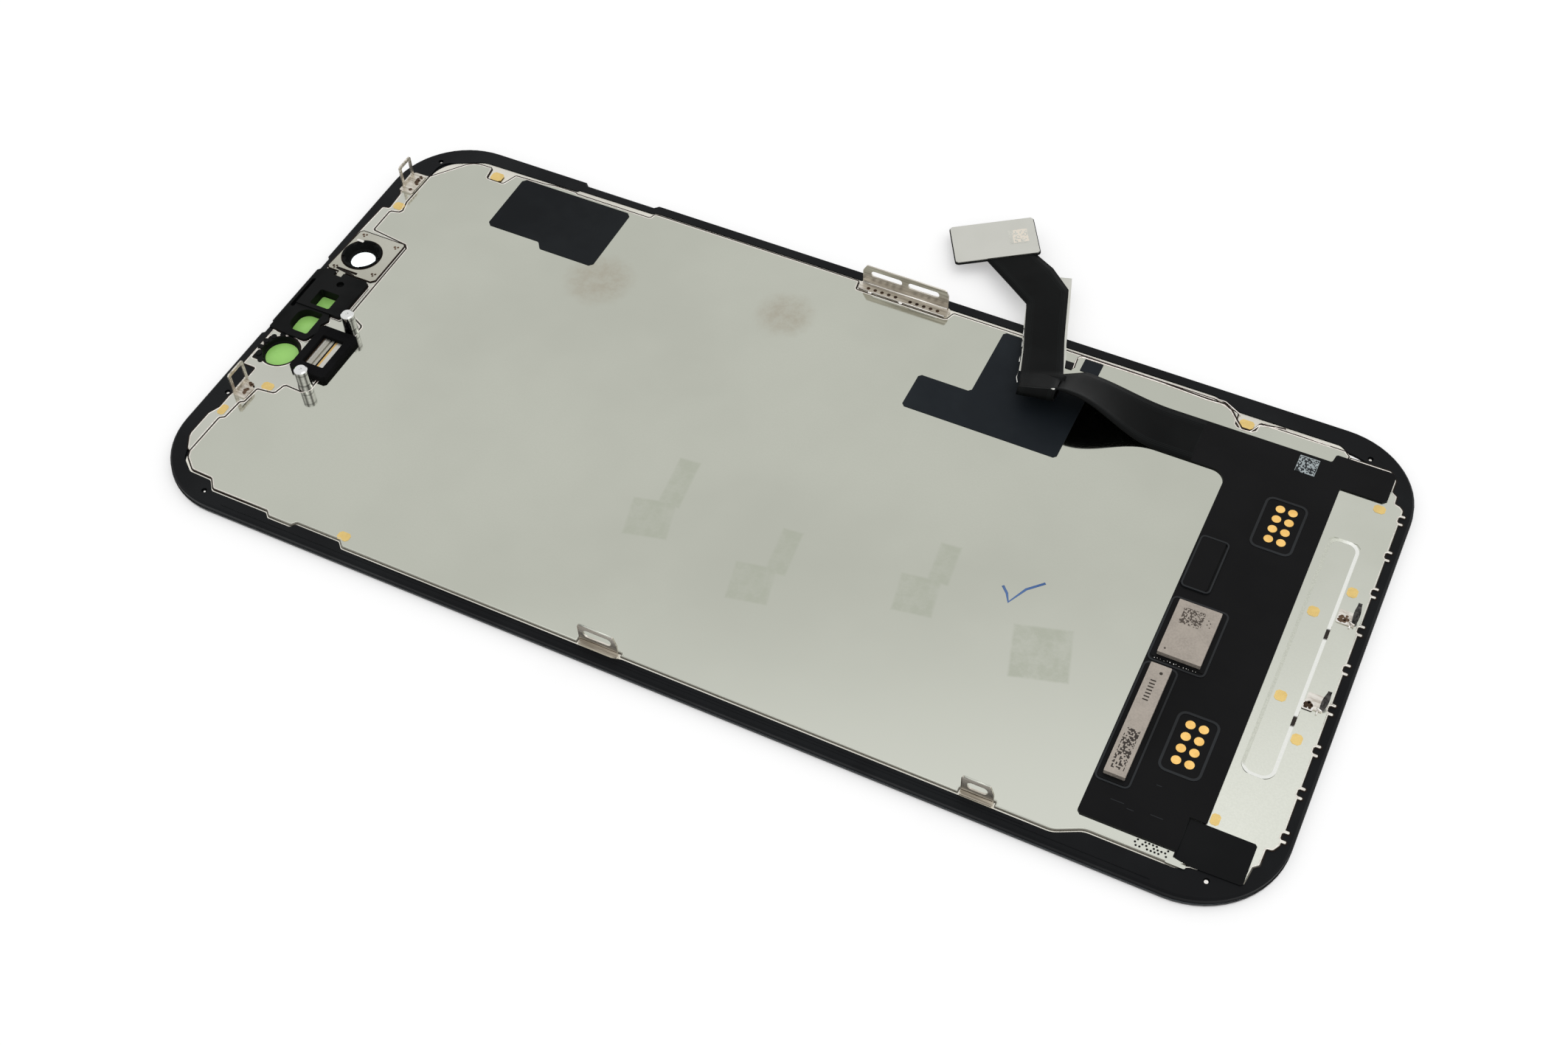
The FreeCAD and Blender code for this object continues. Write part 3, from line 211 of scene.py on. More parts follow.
def makeSpot():
    # a soft round mark seen in plan, with an uneven edge
    settings = {"Vector": (0, 0, 0), "Centre": (0, 0, 0), "Radius": 4 * mm, "Softness": 2 * mm}
    tree, source, sink = newGroup("roundMark", settings, ("Mask",))
    offset = vectorCalc(tree, "SUBTRACT", source["Vector"], source["Centre"])
    flat = vectorCalc(tree, "MULTIPLY", offset, (1, 1, 0))
    wobble = times(tree, noiseAt(tree, source["Vector"], 700.0), 1.6 * mm)
    distance = calc(tree, "ADD", vectorCalc(tree, "LENGTH", flat), wobble)
    inner = calc(tree, "SUBTRACT", source["Radius"], source["Softness"])
    outer = calc(tree, "ADD", source["Radius"], source["Softness"])
    tree.links.new(spread(tree, distance, inner, outer, 1.0, 0.0), sink["Mask"])
    return tree


def makeBoxMark():
    # a straight-sided mark seen in plan, as adhesive tape leaves behind
    settings = {"Vector": (0, 0, 0), "Half": (2 * mm, 2 * mm, 1), "Softness": 0.3 * mm}
    tree, source, sink = newGroup("squareMark", settings, ("Mask",))
    size = vectorCalc(tree, "ABSOLUTE", source["Vector"])
    away = axesOf(tree, vectorCalc(tree, "SUBTRACT", size, source["Half"]))
    worst = calc(tree, "MAXIMUM", away["X"], away["Y"])
    tree.links.new(spread(tree, worst, 0.0, source["Softness"], 1.0, 0.0), sink["Mask"])
    return tree


def makeCells():
    # random square cells: a pattern that reads as a code but holds none
    settings = {"Vector": (0, 0, 0), "Cells": 12.0, "Filled": 0.5}
    tree, source, sink = newGroup("randomCells", settings, ("Mask",))
    scaled = addNode(tree, "VectorMath", operation="SCALE")
    tree.links.new(source["Vector"], scaled.inputs[0])
    tree.links.new(source["Cells"], scaled.inputs["Scale"])
    flat = vectorCalc(tree, "MULTIPLY", vectorCalc(tree, "FLOOR", scaled.outputs[0]), (1, 1, 0))
    chance = addNode(tree, "TexWhiteNoise", noise_dimensions="2D")
    tree.links.new(flat, chance.inputs["Vector"])
    tree.links.new(calc(tree, "LESS_THAN", chance.outputs["Value"], source["Filled"]), sink["Mask"])
    return tree


satinGrain = makeGrain()
brushedLines = makeBrushing()
roundMark = makeSpot()
squareMark = makeBoxMark()
randomCells = makeCells()


def grainAt(tree, place, grain=4000.0, smudge=45.0):
    return placeGroup(tree, satinGrain, Vector=place, Grain=grain, Smudge=smudge)


def linesAt(tree, place, lines, stretch):
    return placeGroup(tree, brushedLines, Vector=place, Lines=lines, Stretch=stretch)


def startLook(name, metallic=0.0, specular=0.5):
    material = bpy.data.materials.new(name)
    material.use_nodes = True
    tree = material.node_tree
    shader = tree.nodes["Principled BSDF"].inputs
    shader["Metallic"].default_value = metallic
    shader["Specular IOR Level"].default_value = specular
    return material, tree, shader, addNode(tree, "TexCoord").outputs["Object"]


def setLook(tree, shader, color, share, low, high):
    # the colour, and a roughness that runs from low to high along share
    tree.links.new(color, shader["Base Color"])
    tree.links.new(spread(tree, share, 0.0, 1.0, low, high), shader["Roughness"])


def bumpFrom(tree, shader, height, strength, depth=0.02):
    bump = addNode(tree, "Bump")
    bump.inputs["Strength"].default_value = strength
    bump.inputs["Distance"].default_value = depth * mm
    tree.links.new(height, bump.inputs["Height"])
    tree.links.new(bump.outputs[0], shader["Normal"])


def paintedNearLight(tree, place, color, glow):
    # painted light: the sheets' colour is lifted toward the near driver corner, where they pick up more light
    axes = axesOf(tree, place)
    slant = calc(tree, "SUBTRACT", times(tree, axes["X"], 0.5), axes["Y"])
    return mixColor(tree, spread(tree, slant, 15 * mm, 58 * mm), color, glow)


def satin(name, light, dark, low, high, grain=4000.0, bump=0.25, glow=None):
    # bare sheet metal: two close tones, uneven shine, fine grain
    material, tree, shader, place = startLook(name, 1.0)
    field = grainAt(tree, place, grain)
    color = mixColor(tree, field["Smudges"], light, dark)
    if glow:
        color = paintedNearLight(tree, place, color, glow)
    color = mixColor(tree, times(tree, field["Speckle"], 0.12), color, dark)
    setLook(tree, shader, color, field["Smudges"], low, high)
    bumpFrom(tree, shader, field["Height"], bump)
    return material


def brushed(name, light, dark, low, high, lines=3500.0, stretch=0.05):
    material, tree, shader, place = startLook(name, 1.0)
    field = linesAt(tree, place, lines, stretch)
    setLook(tree, shader, mixColor(tree, field["Lines"], light, dark), field["Lines"], low, high)
    bumpFrom(tree, shader, field["Height"], 0.3, 0.015)
    return material


def matt(name, base, lifted, low, high, specular=0.2, grain=5000.0, bump=0.35, depth=0.02):
    # mouldings, films and tapes: one tone with finger-worn sheen
    material, tree, shader, place = startLook(name, 0.0, specular)
    field = grainAt(tree, place, grain, 70.0)
    setLook(tree, shader, mixColor(tree, field["Smudges"], base, lifted), field["Smudges"], high, low)
    bumpFrom(tree, shader, field["Height"], bump, depth)
    return material


# the big plate, with what handling left on it, and a glow tone that is painted light toward the near driver
# corner
plateLook = {
    "light": (187, 189, 178), "dark": (180, 182, 171), "stain": (166, 161, 146), "tape": (169, 173, 158),
    "glow": (206, 208, 198), "fingerprints": [(-35.2, 18.3, 4.6), (-10.5, 22.8, 3.9)],
    "tapeMarks": [  # middle x, y, half length, half width, turn
        (-10.6, -13.6, 2.4, 2.5, 14), (-9.9, -7.4, 1.1, 3.4, 6), (4.4, -17.0, 2.2, 2.4, 12),
        (5.9, -11.4, 1.0, 3.0, 6), (22.2, -10.6, 2.1, 2.4, 10), (23.4, -5.2, 1.0, 2.6, 6),
        (37.9, -12.1, 3.1, 3.3, 16),
    ],
}


def makePlateSteel():
    look = plateLook
    material, tree, shader, place = startLook("plateSteel", 1.0)
    field = grainAt(tree, place, 3800.0, 26.0)
    color = mixColor(tree, field["Smudges"], look["light"], look["dark"])
    color = mixColor(tree, times(tree, field["Speckle"], 0.16), color, look["dark"])
    color = paintedNearLight(tree, place, color, look["glow"])
    ridges = spread(tree, noiseAt(tree, place, 900.0, 4.0, 0.7), 0.3, 0.75, 0.35, 0.8)
    for x, y, radius in look["fingerprints"]:
        mark = placeGroup(tree, roundMark, Vector=place, Centre=point(x, y), Radius=radius * mm,
                          Softness=1.6 * mm)
        color = mixColor(tree, times(tree, mark["Mask"], ridges), color, look["stain"])
    tape = 0.0
    for x, y, halfLength, halfWidth, turn in look["tapeMarks"]:
        own = ownPlace(tree, place, (x, y), (0, 0, turn))
        mark = placeGroup(tree, squareMark, Vector=own, Half=(halfLength * mm, halfWidth * mm, 1.0),
                          Softness=0.45 * mm)
        streaks = spread(tree, noiseAt(tree, own, 500.0, 4.0, 0.7), 0.25, 0.7, 0.2, 0.75)
        tape = calc(tree, "MAXIMUM", tape, times(tree, mark["Mask"], streaks))
    tree.links.new(mixColor(tree, tape, color, look["tape"]), shader["Base Color"])
    shine = spread(tree, field["Smudges"], 0.0, 1.0, 0.06, 0.09)
    variation = times(tree, tape, 0.04)
    tree.links.new(calc(tree, "ADD", shine, variation), shader["Roughness"])
    return material


glassLook = {"halfLength": 70.2, "halfWidth": 34.12, "corner": 10.5, "inkFrom": 10.25, "inkTo": 10.4}


def makeGlass():
    # clear, with the print's ink showing through the rim
    look = glassLook
    material, tree, shader, place = startLook("coverGlass")
    shader["Transmission Weight"].default_value = 1.0
    shader["IOR"].default_value = 1.5
    field = grainAt(tree, place, 900.0, 60.0)
    clear = mixColor(tree, field["Smudges"], (246, 252, 252), (238, 248, 250))
    middles = point(look["halfLength"] - look["corner"], look["halfWidth"] - look["corner"])
    away = vectorCalc(tree, "SUBTRACT", vectorCalc(tree, "ABSOLUTE", place), middles)
    away = vectorCalc(tree, "MULTIPLY", vectorCalc(tree, "MAXIMUM", away), (1, 1, 0))
    rim = spread(tree, vectorCalc(tree, "LENGTH", away), look["inkFrom"] * mm, look["inkTo"] * mm)
    setLook(tree, shader, mixColor(tree, rim, clear, (12, 14, 16)), field["Smudges"], 0.0, 0.03)
    return material


def makeGreenFilm():
    material, tree, shader, place = startLook("greenFilter")
    shader["IOR"].default_value = 1.3
    field = grainAt(tree, place, 2500.0, 400.0)
    color = mixColor(tree, field["Smudges"], (178, 240, 131), (169, 232, 123))
    setLook(tree, shader, color, field["Speckle"], 0.08, 0.18)
    return material


def makeGold(name, light, dark):
    material, tree, shader, place = startLook(name, 1.0)
    field = grainAt(tree, place, 5200.0, 900.0)
    setLook(tree, shader, mixColor(tree, field["Smudges"], light, dark), field["Speckle"], 0.3, 0.45)
    bumpFrom(tree, shader, field["Height"], 0.3)
    return material


postPaintedReflections = {
    # painted reflection streaks by angle round the post; the line and groove tones are painted shade
    "streaks": [
        (0.0, (196, 196, 194)), (0.2, (70, 70, 70)), (0.25, (222, 222, 220)), (0.3, (104, 102, 100)),
        (0.35, (250, 250, 249)), (0.43, (78, 76, 74)), (0.5, (232, 232, 230)), (1.0, (200, 200, 198)),
    ],
    "capFrom": 4.5, "capTo": 4.66, "cap": (214, 215, 214), "lines": 9000.0, "line": (70, 70, 70),
    "grooves": ((4.0, 4.2), (2.3, 2.45)), "soft": 0.1, "groove": (60, 59, 58),
}


def makePost(name, x, y):
    # mirror-bright post with painted reflection: the dark room is painted as upright streaks round its axis,
    # and the fine thread lines and the two grooves are painted dark as shade
    look = postPaintedReflections
    material, tree, shader, place = startLook(name, 1.0)
    axes = axesOf(tree, vectorCalc(tree, "SUBTRACT", place, point(x, y)))
    ramp = addNode(tree, "ValToRGB")
    stops = ramp.color_ramp.elements
    while len(stops) < len(look["streaks"]):
        stops.new(1.0)
    for stop, (position, color) in zip(stops, look["streaks"]):
        stop.position = position
        stop.color = tone(*color)
    angle = calc(tree, "ARCTAN2", axes["Y"], axes["X"])
    tree.links.new(spread(tree, angle, -pi, pi, smooth=False), ramp.inputs[0])
    wave = calc(tree, "SINE", times(tree, axes["Z"], look["lines"]))
    share = times(tree, spread(tree, wave, -1.0, 1.0), 0.12)
    sides = mixColor(tree, share, ramp.outputs[0], look["line"])
    for low, high in look["grooves"]:
        groove = within(tree, axes["Z"], low * mm, high * mm, look["soft"] * mm)
        sides = mixColor(tree, times(tree, groove, 0.5), sides, look["groove"])
    cap = spread(tree, axes["Z"], look["capFrom"] * mm, look["capTo"] * mm)
    field = grainAt(tree, place, 2400.0, 800.0)
    setLook(tree, shader, mixColor(tree, cap, sides, look["cap"]), field["Smudges"], 0.08, 0.2)
    return material


def makeMesh():
    # woven screen over the earpiece: round openings in rows
    material, tree, shader, place = startLook("earpieceScreen", 0.6)
    shader["Roughness"].default_value = 0.45
    cell = addNode(tree, "TexVoronoi", feature="F1")
    cell.inputs["Scale"].default_value = 5200.0
    cell.inputs["Randomness"].default_value = 0.0
    tree.links.new(place, cell.inputs["Vector"])
    hole = spread(tree, cell.outputs["Distance"], 0.32, 0.42, 1.0, 0.0)
    tree.links.new(mixColor(tree, hole, (74, 75, 76), (6, 6, 7)), shader["Base Color"])
    bumpFrom(tree, shader, calc(tree, "SUBTRACT", 1.0, hole), 0.6, 0.05)
    return material


stripLook = {
    "start": -61.85, "width": 3.05, "rust": (150, 112, 78), "rustAt": (-60.6, -8.6), "rustRadius": 0.7,
    "stops": [(0.0, (120, 96, 74)), (0.08, (205, 203, 196)), (0.16, (172, 170, 160)), (0.52, (14, 14, 15)),
              (0.6, (206, 170, 104)), (0.68, (196, 195, 188)), (0.9, (224, 224, 220))],
}


def makeContactStrips():
    # lengthwise strips seen through the gasket's window
    look = stripLook
    material, tree, shader, place = startLook("contactStrips", 0.9)
    ramp = addNode(tree, "ValToRGB")
    ramp.color_ramp.interpolation = "CONSTANT"
    for position, color in look["stops"]:
        stop = ramp.color_ramp.elements.new(position)
        stop.color = tone(*color)
    start = look["start"] * mm
    across = spread(tree, axesOf(tree, place)["X"], start, start + look["width"] * mm, smooth=False)
    tree.links.new(across, ramp.inputs[0])
    rust = placeGroup(tree, roundMark, Vector=place, Centre=point(*look["rustAt"]),
                      Radius=look["rustRadius"] * mm, Softness=0.5 * mm)
    share = times(tree, rust["Mask"], 0.6)
    color = mixColor(tree, share, ramp.outputs[0], look["rust"])
    setLook(tree, shader, color, grainAt(tree, place, 3000.0)["Smudges"], 0.28, 0.42)
    return material


def coded(name, ground, ink, cell, origin, size, turn=(0, 0, 0), filled=0.5, metallic=0.0, roughness=0.5):
    # ground colour with a block of random cells printed on it
    material, tree, shader, place = startLook(name, metallic, 0.3)
    own = ownPlace(tree, place, origin, turn)
    cells = placeGroup(tree, randomCells, Vector=own, Cells=1 / (cell * mm), Filled=filled)
    inside = placeGroup(tree, squareMark, Vector=own, Half=(size[0] / 2 * mm, size[1] / 2 * mm, 1.0),
                        Softness=0.01 * mm)
    printed = times(tree, cells["Mask"], inside["Mask"])
    field = grainAt(tree, place, 4200.0, 500.0)
    dimmed, lifted = (tuple(min(channel * share, 1.0) for channel in tone(*ground)[:3]) + (1.0,)
                      for share in (0.86, 1.3))
    plain = mixColor(tree, field["Smudges"], ground, dimmed)
    plain = mixColor(tree, times(tree, field["Speckle"], 0.4), plain, lifted)
    color = mixColor(tree, printed, plain, ink)
    setLook(tree, shader, color, field["Speckle"], roughness - 0.05, roughness + 0.1)
    bumpFrom(tree, shader, field["Height"], 0.3)
    return material


# painted shade: above these heights the leaf is painted dark, below them the foot is lit
springRise = (1.78, 1.9)  # heights between which the bright foot turns into the dark leaf


def makeSpringSteel():
    # lit foot; the raised leaf turns away from the light and is painted dark as shade
    material, tree, shader, place = startLook("springSteel", 1.0)
    lines = linesAt(tree, place, 2200.0, 0.3)["Lines"]
    foot = mixColor(tree, lines, (226, 222, 214), (176, 168, 158))
    leafShade = mixColor(tree, lines, (30, 30, 31), (74, 72, 70))
    raised = spread(tree, axesOf(tree, place)["Z"], springRise[0] * mm, springRise[1] * mm)
    setLook(tree, shader, mixColor(tree, raised, foot, leafShade), lines, 0.14, 0.26)
    return material


print("materials")
nodeLooks = {  # by the nodes that each dresses
    "cover_glass": makeGlass(),
    "rear_plate": makePlateSteel(),
    "sensor_plate": satin("sensorSteel", (194, 195, 186), (184, 185, 175), 0.12, 0.18, bump=0.1),
    # the end bracket's glow tone is painted light toward the near driver corner
    "end_bracket": satin(
        "bracketSteel", (196, 198, 188), (188, 190, 179), 0.12, 0.18, bump=0.1, glow=(220, 222, 212)),
    "camera_bracket": satin("cameraBracketSteel", (184, 183, 172), (166, 164, 152), 0.2, 0.3),
    "backlight_tray": satin("trayEdgeSteel", (225, 222, 212), (205, 202, 192), 0.25, 0.38),
    "flex_stiffener": satin("stiffenerSteel", (201, 201, 194), (191, 191, 183), 0.36, 0.46, 5200.0, 0.3),
    "touch_flex": satin("silverPly", (206, 206, 198), (180, 180, 172), 0.3, 0.45, 2600.0),
    "reflector_sheet": satin("reflectorFoil", (242, 242, 242), (232, 232, 232), 0.05, 0.12, 2000.0, 0.05),
    "side_clip_left side_clip_right slotted_bracket corner_hook_far corner_hook_near":
        brushed("clipSteel", (220, 215, 205), (166, 159, 147), 0.28, 0.42),
    "spring_clip_far spring_clip_near": makeSpringSteel(),
    "stud_near": makePost("postNear", -59.5, -13.28),
    "stud_far": makePost("postFar", -59.5, -2.93),
    "gasket_contacts": makeContactStrips(),
    "earpiece_mesh": makeMesh(),
    "square_window half_round_window round_window": makeGreenFilm(),
    "contact_pads_far contact_pads_near": makeGold("goldPlate", (242, 200, 122), (232, 186, 106)),
    "ground_pads bracket_pads": makeGold("paleGold", (222, 194, 126), (212, 184, 118)),
    "driver_chip_square":
        coded("chipLid", (172, 163, 153), (84, 76, 69), 0.15, (51.6, -1.1), (2.5, 2.3), metallic=0.35),
    "driver_chip_long": coded(
        "longChipLid", (174, 165, 155), (58, 52, 47), 0.17, (50.6, -20.3), (1.55, 5.4), metallic=0.35),
    "code_label": coded(
        "codeLabel", (176, 186, 188), (22, 27, 31), 0.17, (56.8, 26.1), (2.3, 2.6), roughness=0.6),
    "bezel_frame": matt("bezelBlack", (13, 14, 16), (20, 22, 24), 0.4, 0.55, 0.1, 3200.0, 0.4),
    "sensor_holder camera_ring round_window_ring": matt("holderBlack", (8, 9, 9), (15, 16, 16), 0.5, 0.7, 0.08),
    "driver_board display_flex": matt("filmBlack", (11, 11, 12), (17, 17, 18), 0.36, 0.5, 0.08, 2600.0, 0.25),
    "tape_flex tape_scrap": matt("tapeBlack", (22, 27, 32), (28, 34, 39), 0.45, 0.6, 0.12, 3000.0, 0.3),
    "tape_upper": matt("tapeFarBlack", (14, 17, 20), (20, 24, 27), 0.45, 0.6, 0.1, 3000.0, 0.3),
    "corner_tape": matt("cornerTapeBlack", (11, 12, 13), (17, 18, 19), 0.36, 0.5, 0.08, 2600.0, 0.25),
    "sensor_gasket": matt("gasketFoam", (8, 8, 9), (14, 14, 15), 0.75, 0.9, 0.08, 1800.0, 0.8, 0.06),
    "display_connector touch_connector": matt("connectorBlack", (12, 12, 13), (20, 20, 21), 0.35, 0.5, 0.15),
    "border_print": matt("borderInk", (6, 6, 7), (8, 8, 9), 0.2, 0.3, 0.3),
    "display_cell": matt("displayDark", (8, 9, 12), (11, 12, 15), 0.1, 0.18, 0.4, 900.0, 0.05),
    "optical_adhesive": matt("opticalGel", (225, 228, 228), (216, 220, 220), 0.1, 0.2, 0.5),
    "film_stack": matt("diffuserWhite", (238, 238, 238), (228, 228, 229), 0.35, 0.5, 0.5),
    "light_guide": matt("guideAcrylic", (226, 232, 236), (216, 224, 230), 0.08, 0.2, 0.5),
    "led_strip": matt("ledStrip", (236, 226, 168), (224, 208, 140), 0.3, 0.45, 0.5),
}
dressed = 0
for names, look in nodeLooks.items():
    for name in names.split():
        slots = nodes[name].data.materials
        slots.clear()
        slots.append(look)
        dressed += 1
print("dressed", dressed, "of", len(nodes), "frame nodes")


def finishOf(nodeName, slotName):
    # a finish is a material, here a node's own, and a slot name, which is carried along but not used
    return nodes[nodeName].data.materials[0], slotName


def keepPiece(name, bm, finish, smooth=False):
    material, slotName = finish
    mesh = bpy.data.meshes.new(name)
    bm.normal_update()
    bm.to_mesh(mesh)
    bm.free()
    mesh.materials.append(material)
    if smooth:
        mesh.shade_smooth()
    piece = addObject(name, mesh)
    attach(piece, "root")
    return piece


def roundedFace(bm, width, length, corner, sides):
    # a flat rectangle round the origin, its corners rounded
    verts = bmesh.ops.create_grid(bm, x_segments=1, y_segments=1, size=0.5 * mm)["verts"]
    bmesh.ops.scale(bm, verts=verts, vec=(width, length, 1))
    if not corner:
        return verts[0].link_faces[0]
    rounded = bmesh.ops.bevel(bm, geom=verts, offset=corner * mm, affect="VERTICES", segments=sides,
                              profile=0.5, material=-1)
    return max((f for v in rounded["verts"] for f in v.link_faces), key=lambda f: f.calc_area())


def raisedPatch(bm, low, high, bottom, height, corner=0.2, ring=0.0, turn=0.0):
    # a flat rounded patch, or only its rim when ring gives a width
    face = roundedFace(bm, high[0] - low[0], high[1] - low[1], corner, 4)
    faces = [face]
    if ring:
        bmesh.ops.inset_region(bm, faces=faces, thickness=ring * mm, use_boundary=True, use_even_offset=True)
        faces = list(dict.fromkeys(f for e in face.edges for f in e.link_faces if f is not face))
        bmesh.ops.delete(bm, geom=[face], context="FACES")
    raised = bmesh.ops.extrude_face_region(bm, geom=faces, use_keep_orig=True)
    top = [item for item in raised["geom"] if isinstance(item, bmesh.types.BMVert)]
    bmesh.ops.translate(bm, verts=top, vec=(0, 0, height * mm))
    linked = {v for f in faces for v in f.verts} | set(top)
    middle = point((low[0] + high[0]) / 2, (low[1] + high[1]) / 2, bottom)
    place = Matrix.Translation(middle) @ Matrix.Rotation(radians(turn), 4, "Z")
    bmesh.ops.transform(bm, matrix=place, verts=list(linked))
    bmesh.ops.recalc_face_normals(bm, faces=list({f for v in linked for f in v.link_faces}))


def patchPiece(name, boxes, bottom, height, finish, corner=0.2, ring=0.0, turn=0.0, frame=None):
    # one patch per box of low x, low y, high x, high y; frame carries them all to another plane
    bm = bmesh.new()
    for xLow, yLow, xHigh, yHigh in boxes:
        raisedPatch(bm, (xLow, yLow), (xHigh, yHigh), bottom, height, corner, ring, turn)
    if frame:
        bmesh.ops.transform(bm, matrix=frame, verts=bm.verts)
    keepPiece(name, bm, finish)


def dotPiece(name, dots, bottom, height, finish, sides=10, crown=0.6):
    # low domed dots: welds, solder, pins
    bm = bmesh.new()
    for x, y, radius in dots:
        place = Matrix.Translation(point(x, y, bottom + height / 2))
        bmesh.ops.create_cone(bm, cap_ends=True, segments=sides, radius1=radius * mm, matrix=place,
                              radius2=radius * crown * mm, depth=height * mm)
    keepPiece(name, bm, finish)


def wirePiece(name, runs, radius, finish, closed=False, flatten=None):
    # thin rods along runs of points: bends, edges, creases; flatten gives a height and a share
    curve = bpy.data.curves.new(name, "CURVE")
    curve.dimensions = "3D"
    curve.bevel_depth = radius * mm
    curve.bevel_resolution = 1 if closed else 2
    curve.use_fill_caps = True
    for run in runs:
        spline = curve.splines.new("POLY")
        spline.points.add(len(run) - 1)
        for target, place in zip(spline.points, run):
            target.co = (*point(*place), 1)
        spline.use_cyclic_u = closed
    holder = bpy.data.objects.new(name + "Path", curve)
    mesh = bpy.data.meshes.new_from_object(holder)
    bpy.data.objects.remove(holder)
    bm = bmesh.new()
    bm.from_mesh(mesh)
    bpy.data.meshes.remove(mesh)
    bmesh.ops.remove_doubles(bm, verts=bm.verts, dist=1e-7)
    bmesh.ops.recalc_face_normals(bm, faces=bm.faces)
    if flatten:
        level, share = flatten
        bmesh.ops.scale(bm, verts=bm.verts, vec=(1, 1, share), space=Matrix.Translation(point(0, 0, -level)))
    keepPiece(name, bm, finish, smooth=True)


def topLoops(nodeName, level):
    # the closed outlines of a node's flat top at that height, in millimetres
    bm = bmesh.new()
    bm.from_mesh(nodes[nodeName].data)
    bmesh.ops.remove_doubles(bm, verts=bm.verts, dist=2e-6)
    bm.normal_update()
    left = {}
    for edge in bm.edges:
        flat = [f for f in edge.link_faces if f.normal.z > 0.9]
        if len(flat) == 1 and all(abs(v.co.z - level * mm) < 5e-6 for v in edge.verts):
            left[edge] = True
    loops = []
    while left:
        edge, _ = left.popitem()
        start, here = edge.verts
        run = [start.co / mm, here.co / mm]
        while here is not start:
            following = next((e for e in here.link_edges if e in left), None)
            if following is None:
                break
            del left[following]
            here = following.other_vert(here)
            if here is not start:
                run.append(here.co / mm)
        loops.append(run)
    bm.free()
    return [run for run in loops if len(run) > 3]


def shiftedRun(run, inward, drop):
    # the closed run moved inward in plan, and down
    area = sum(a.x * b.y - b.x * a.y for a, b in zip(run, run[1:] + run[:1]))
    side = 1 if area > 0 else -1
    moved = []
    for before, here, after in zip(run[-1:] + run[:-1], run, run[1:] + run[:1]):
        first = (here - before).to_2d()
        second = (after - here).to_2d()
        if min(first.length, second.length) < 1e-4:
            continue
        first.normalize()
        second.normalize()
        normal = Vector((-(first.y + second.y), first.x + second.x)) * side
        step = normal * (inward / max(normal.length_squared / 2, 0.35))
        moved.append(here + Vector((step.x, step.y, -drop)))
    return moved


print("tools")
seamLook = {"nearFrom": -30, "nearTo": -26, "endFrom": -56, "endTo": -48}


def makeSeam(name, strong, variation, faint, metallic, roughness):
    # painted seam lines, the highlight inside each edge and the shadow in each gap: strong along the far edge
    # and the ends, faint along the near edge
    look = seamLook
    material, tree, shader, place = startLook(name, metallic, 0.1)
    axes = axesOf(tree, place)
    near = times(tree, spread(tree, axes["Y"], look["nearFrom"] * mm, look["nearTo"] * mm, 1.0, 0.0),
                spread(tree, axes["X"], look["endFrom"] * mm, look["endTo"] * mm))
    lines = linesAt(tree, place, 2500.0, 1.0)["Lines"]
    color = mixColor(tree, near, mixColor(tree, lines, strong, variation), faint)
    setLook(tree, shader, color, lines, roughness, roughness + 0.14)
    return material


# the sheets' sheared edges: a painted shadow in the gap round each and a painted highlight just inside it
edge = (makeSeam("shearedEdgeHighlight", (240, 236, 230), (214, 204, 196), (198, 200, 190), 1.0, 0.16),
        "bright_steel")
seamShade = (makeSeam("seamShadow", (30, 22, 18), (48, 36, 30), (136, 133, 123), 0.0, 0.6), "bezel_black")
edgeLook = {
    "radius": 0.065, "inside": 0.12, "drop": 0.02, "gapRadius": 0.1, "gapInside": -0.04, "gapDrop": 0.06,
}
for nodeName, level, bright in (
        ("rear_plate", 1.55, True), ("sensor_plate", 1.55, True), ("end_bracket", 1.55, True),
        ("camera_bracket", 1.67, False)):
    runs = topLoops(nodeName, level)
    if nodeName == "end_bracket":
        runs = [max(runs, key=len)]
    outer = [shiftedRun(run, edgeLook["gapInside"], edgeLook["gapDrop"]) for run in runs]
    wirePiece("shadow_" + nodeName, outer, edgeLook["gapRadius"], seamShade, closed=True)
    if bright:
        inner = [shiftedRun(run, edgeLook["inside"], edgeLook["drop"]) for run in runs]
        wirePiece("highlight_" + nodeName, inner, edgeLook["radius"], edge, closed=True)
# a painted shadow along the plate's far groove, with a painted highlight beside it
groove = [
    (26.1, 29.6), (25.95, 31.3), (26.35, 31.86), (31.5, 31.92), (37.5, 31.84), (42.8, 31.6), (45.0, 31.68),
    (46.1, 31.0), (47.0, 29.9), (48.05, 28.75), (49.1, 28.85), (49.8, 30.3), (52.8, 30.9),
]
wirePiece("plateGroove", [[(x, y, 1.54) for x, y in groove]], 0.1, seamShade)
wirePiece("plateGrooveShine", [[(x - 0.08, y - 0.2, 1.545) for x, y in groove]], 0.095, edge)
wirePiece("farEdgeShine", [
    [(24.2, 32.05, 1.55), (44.9, 32.05, 1.55), (47.2, 30.75, 1.55)],
    [(50.2, 30.6, 1.55), (55.1, 30.62, 1.55), (58.4, 30.5, 1.55)]], 0.07, edge)
print("sheared edges")

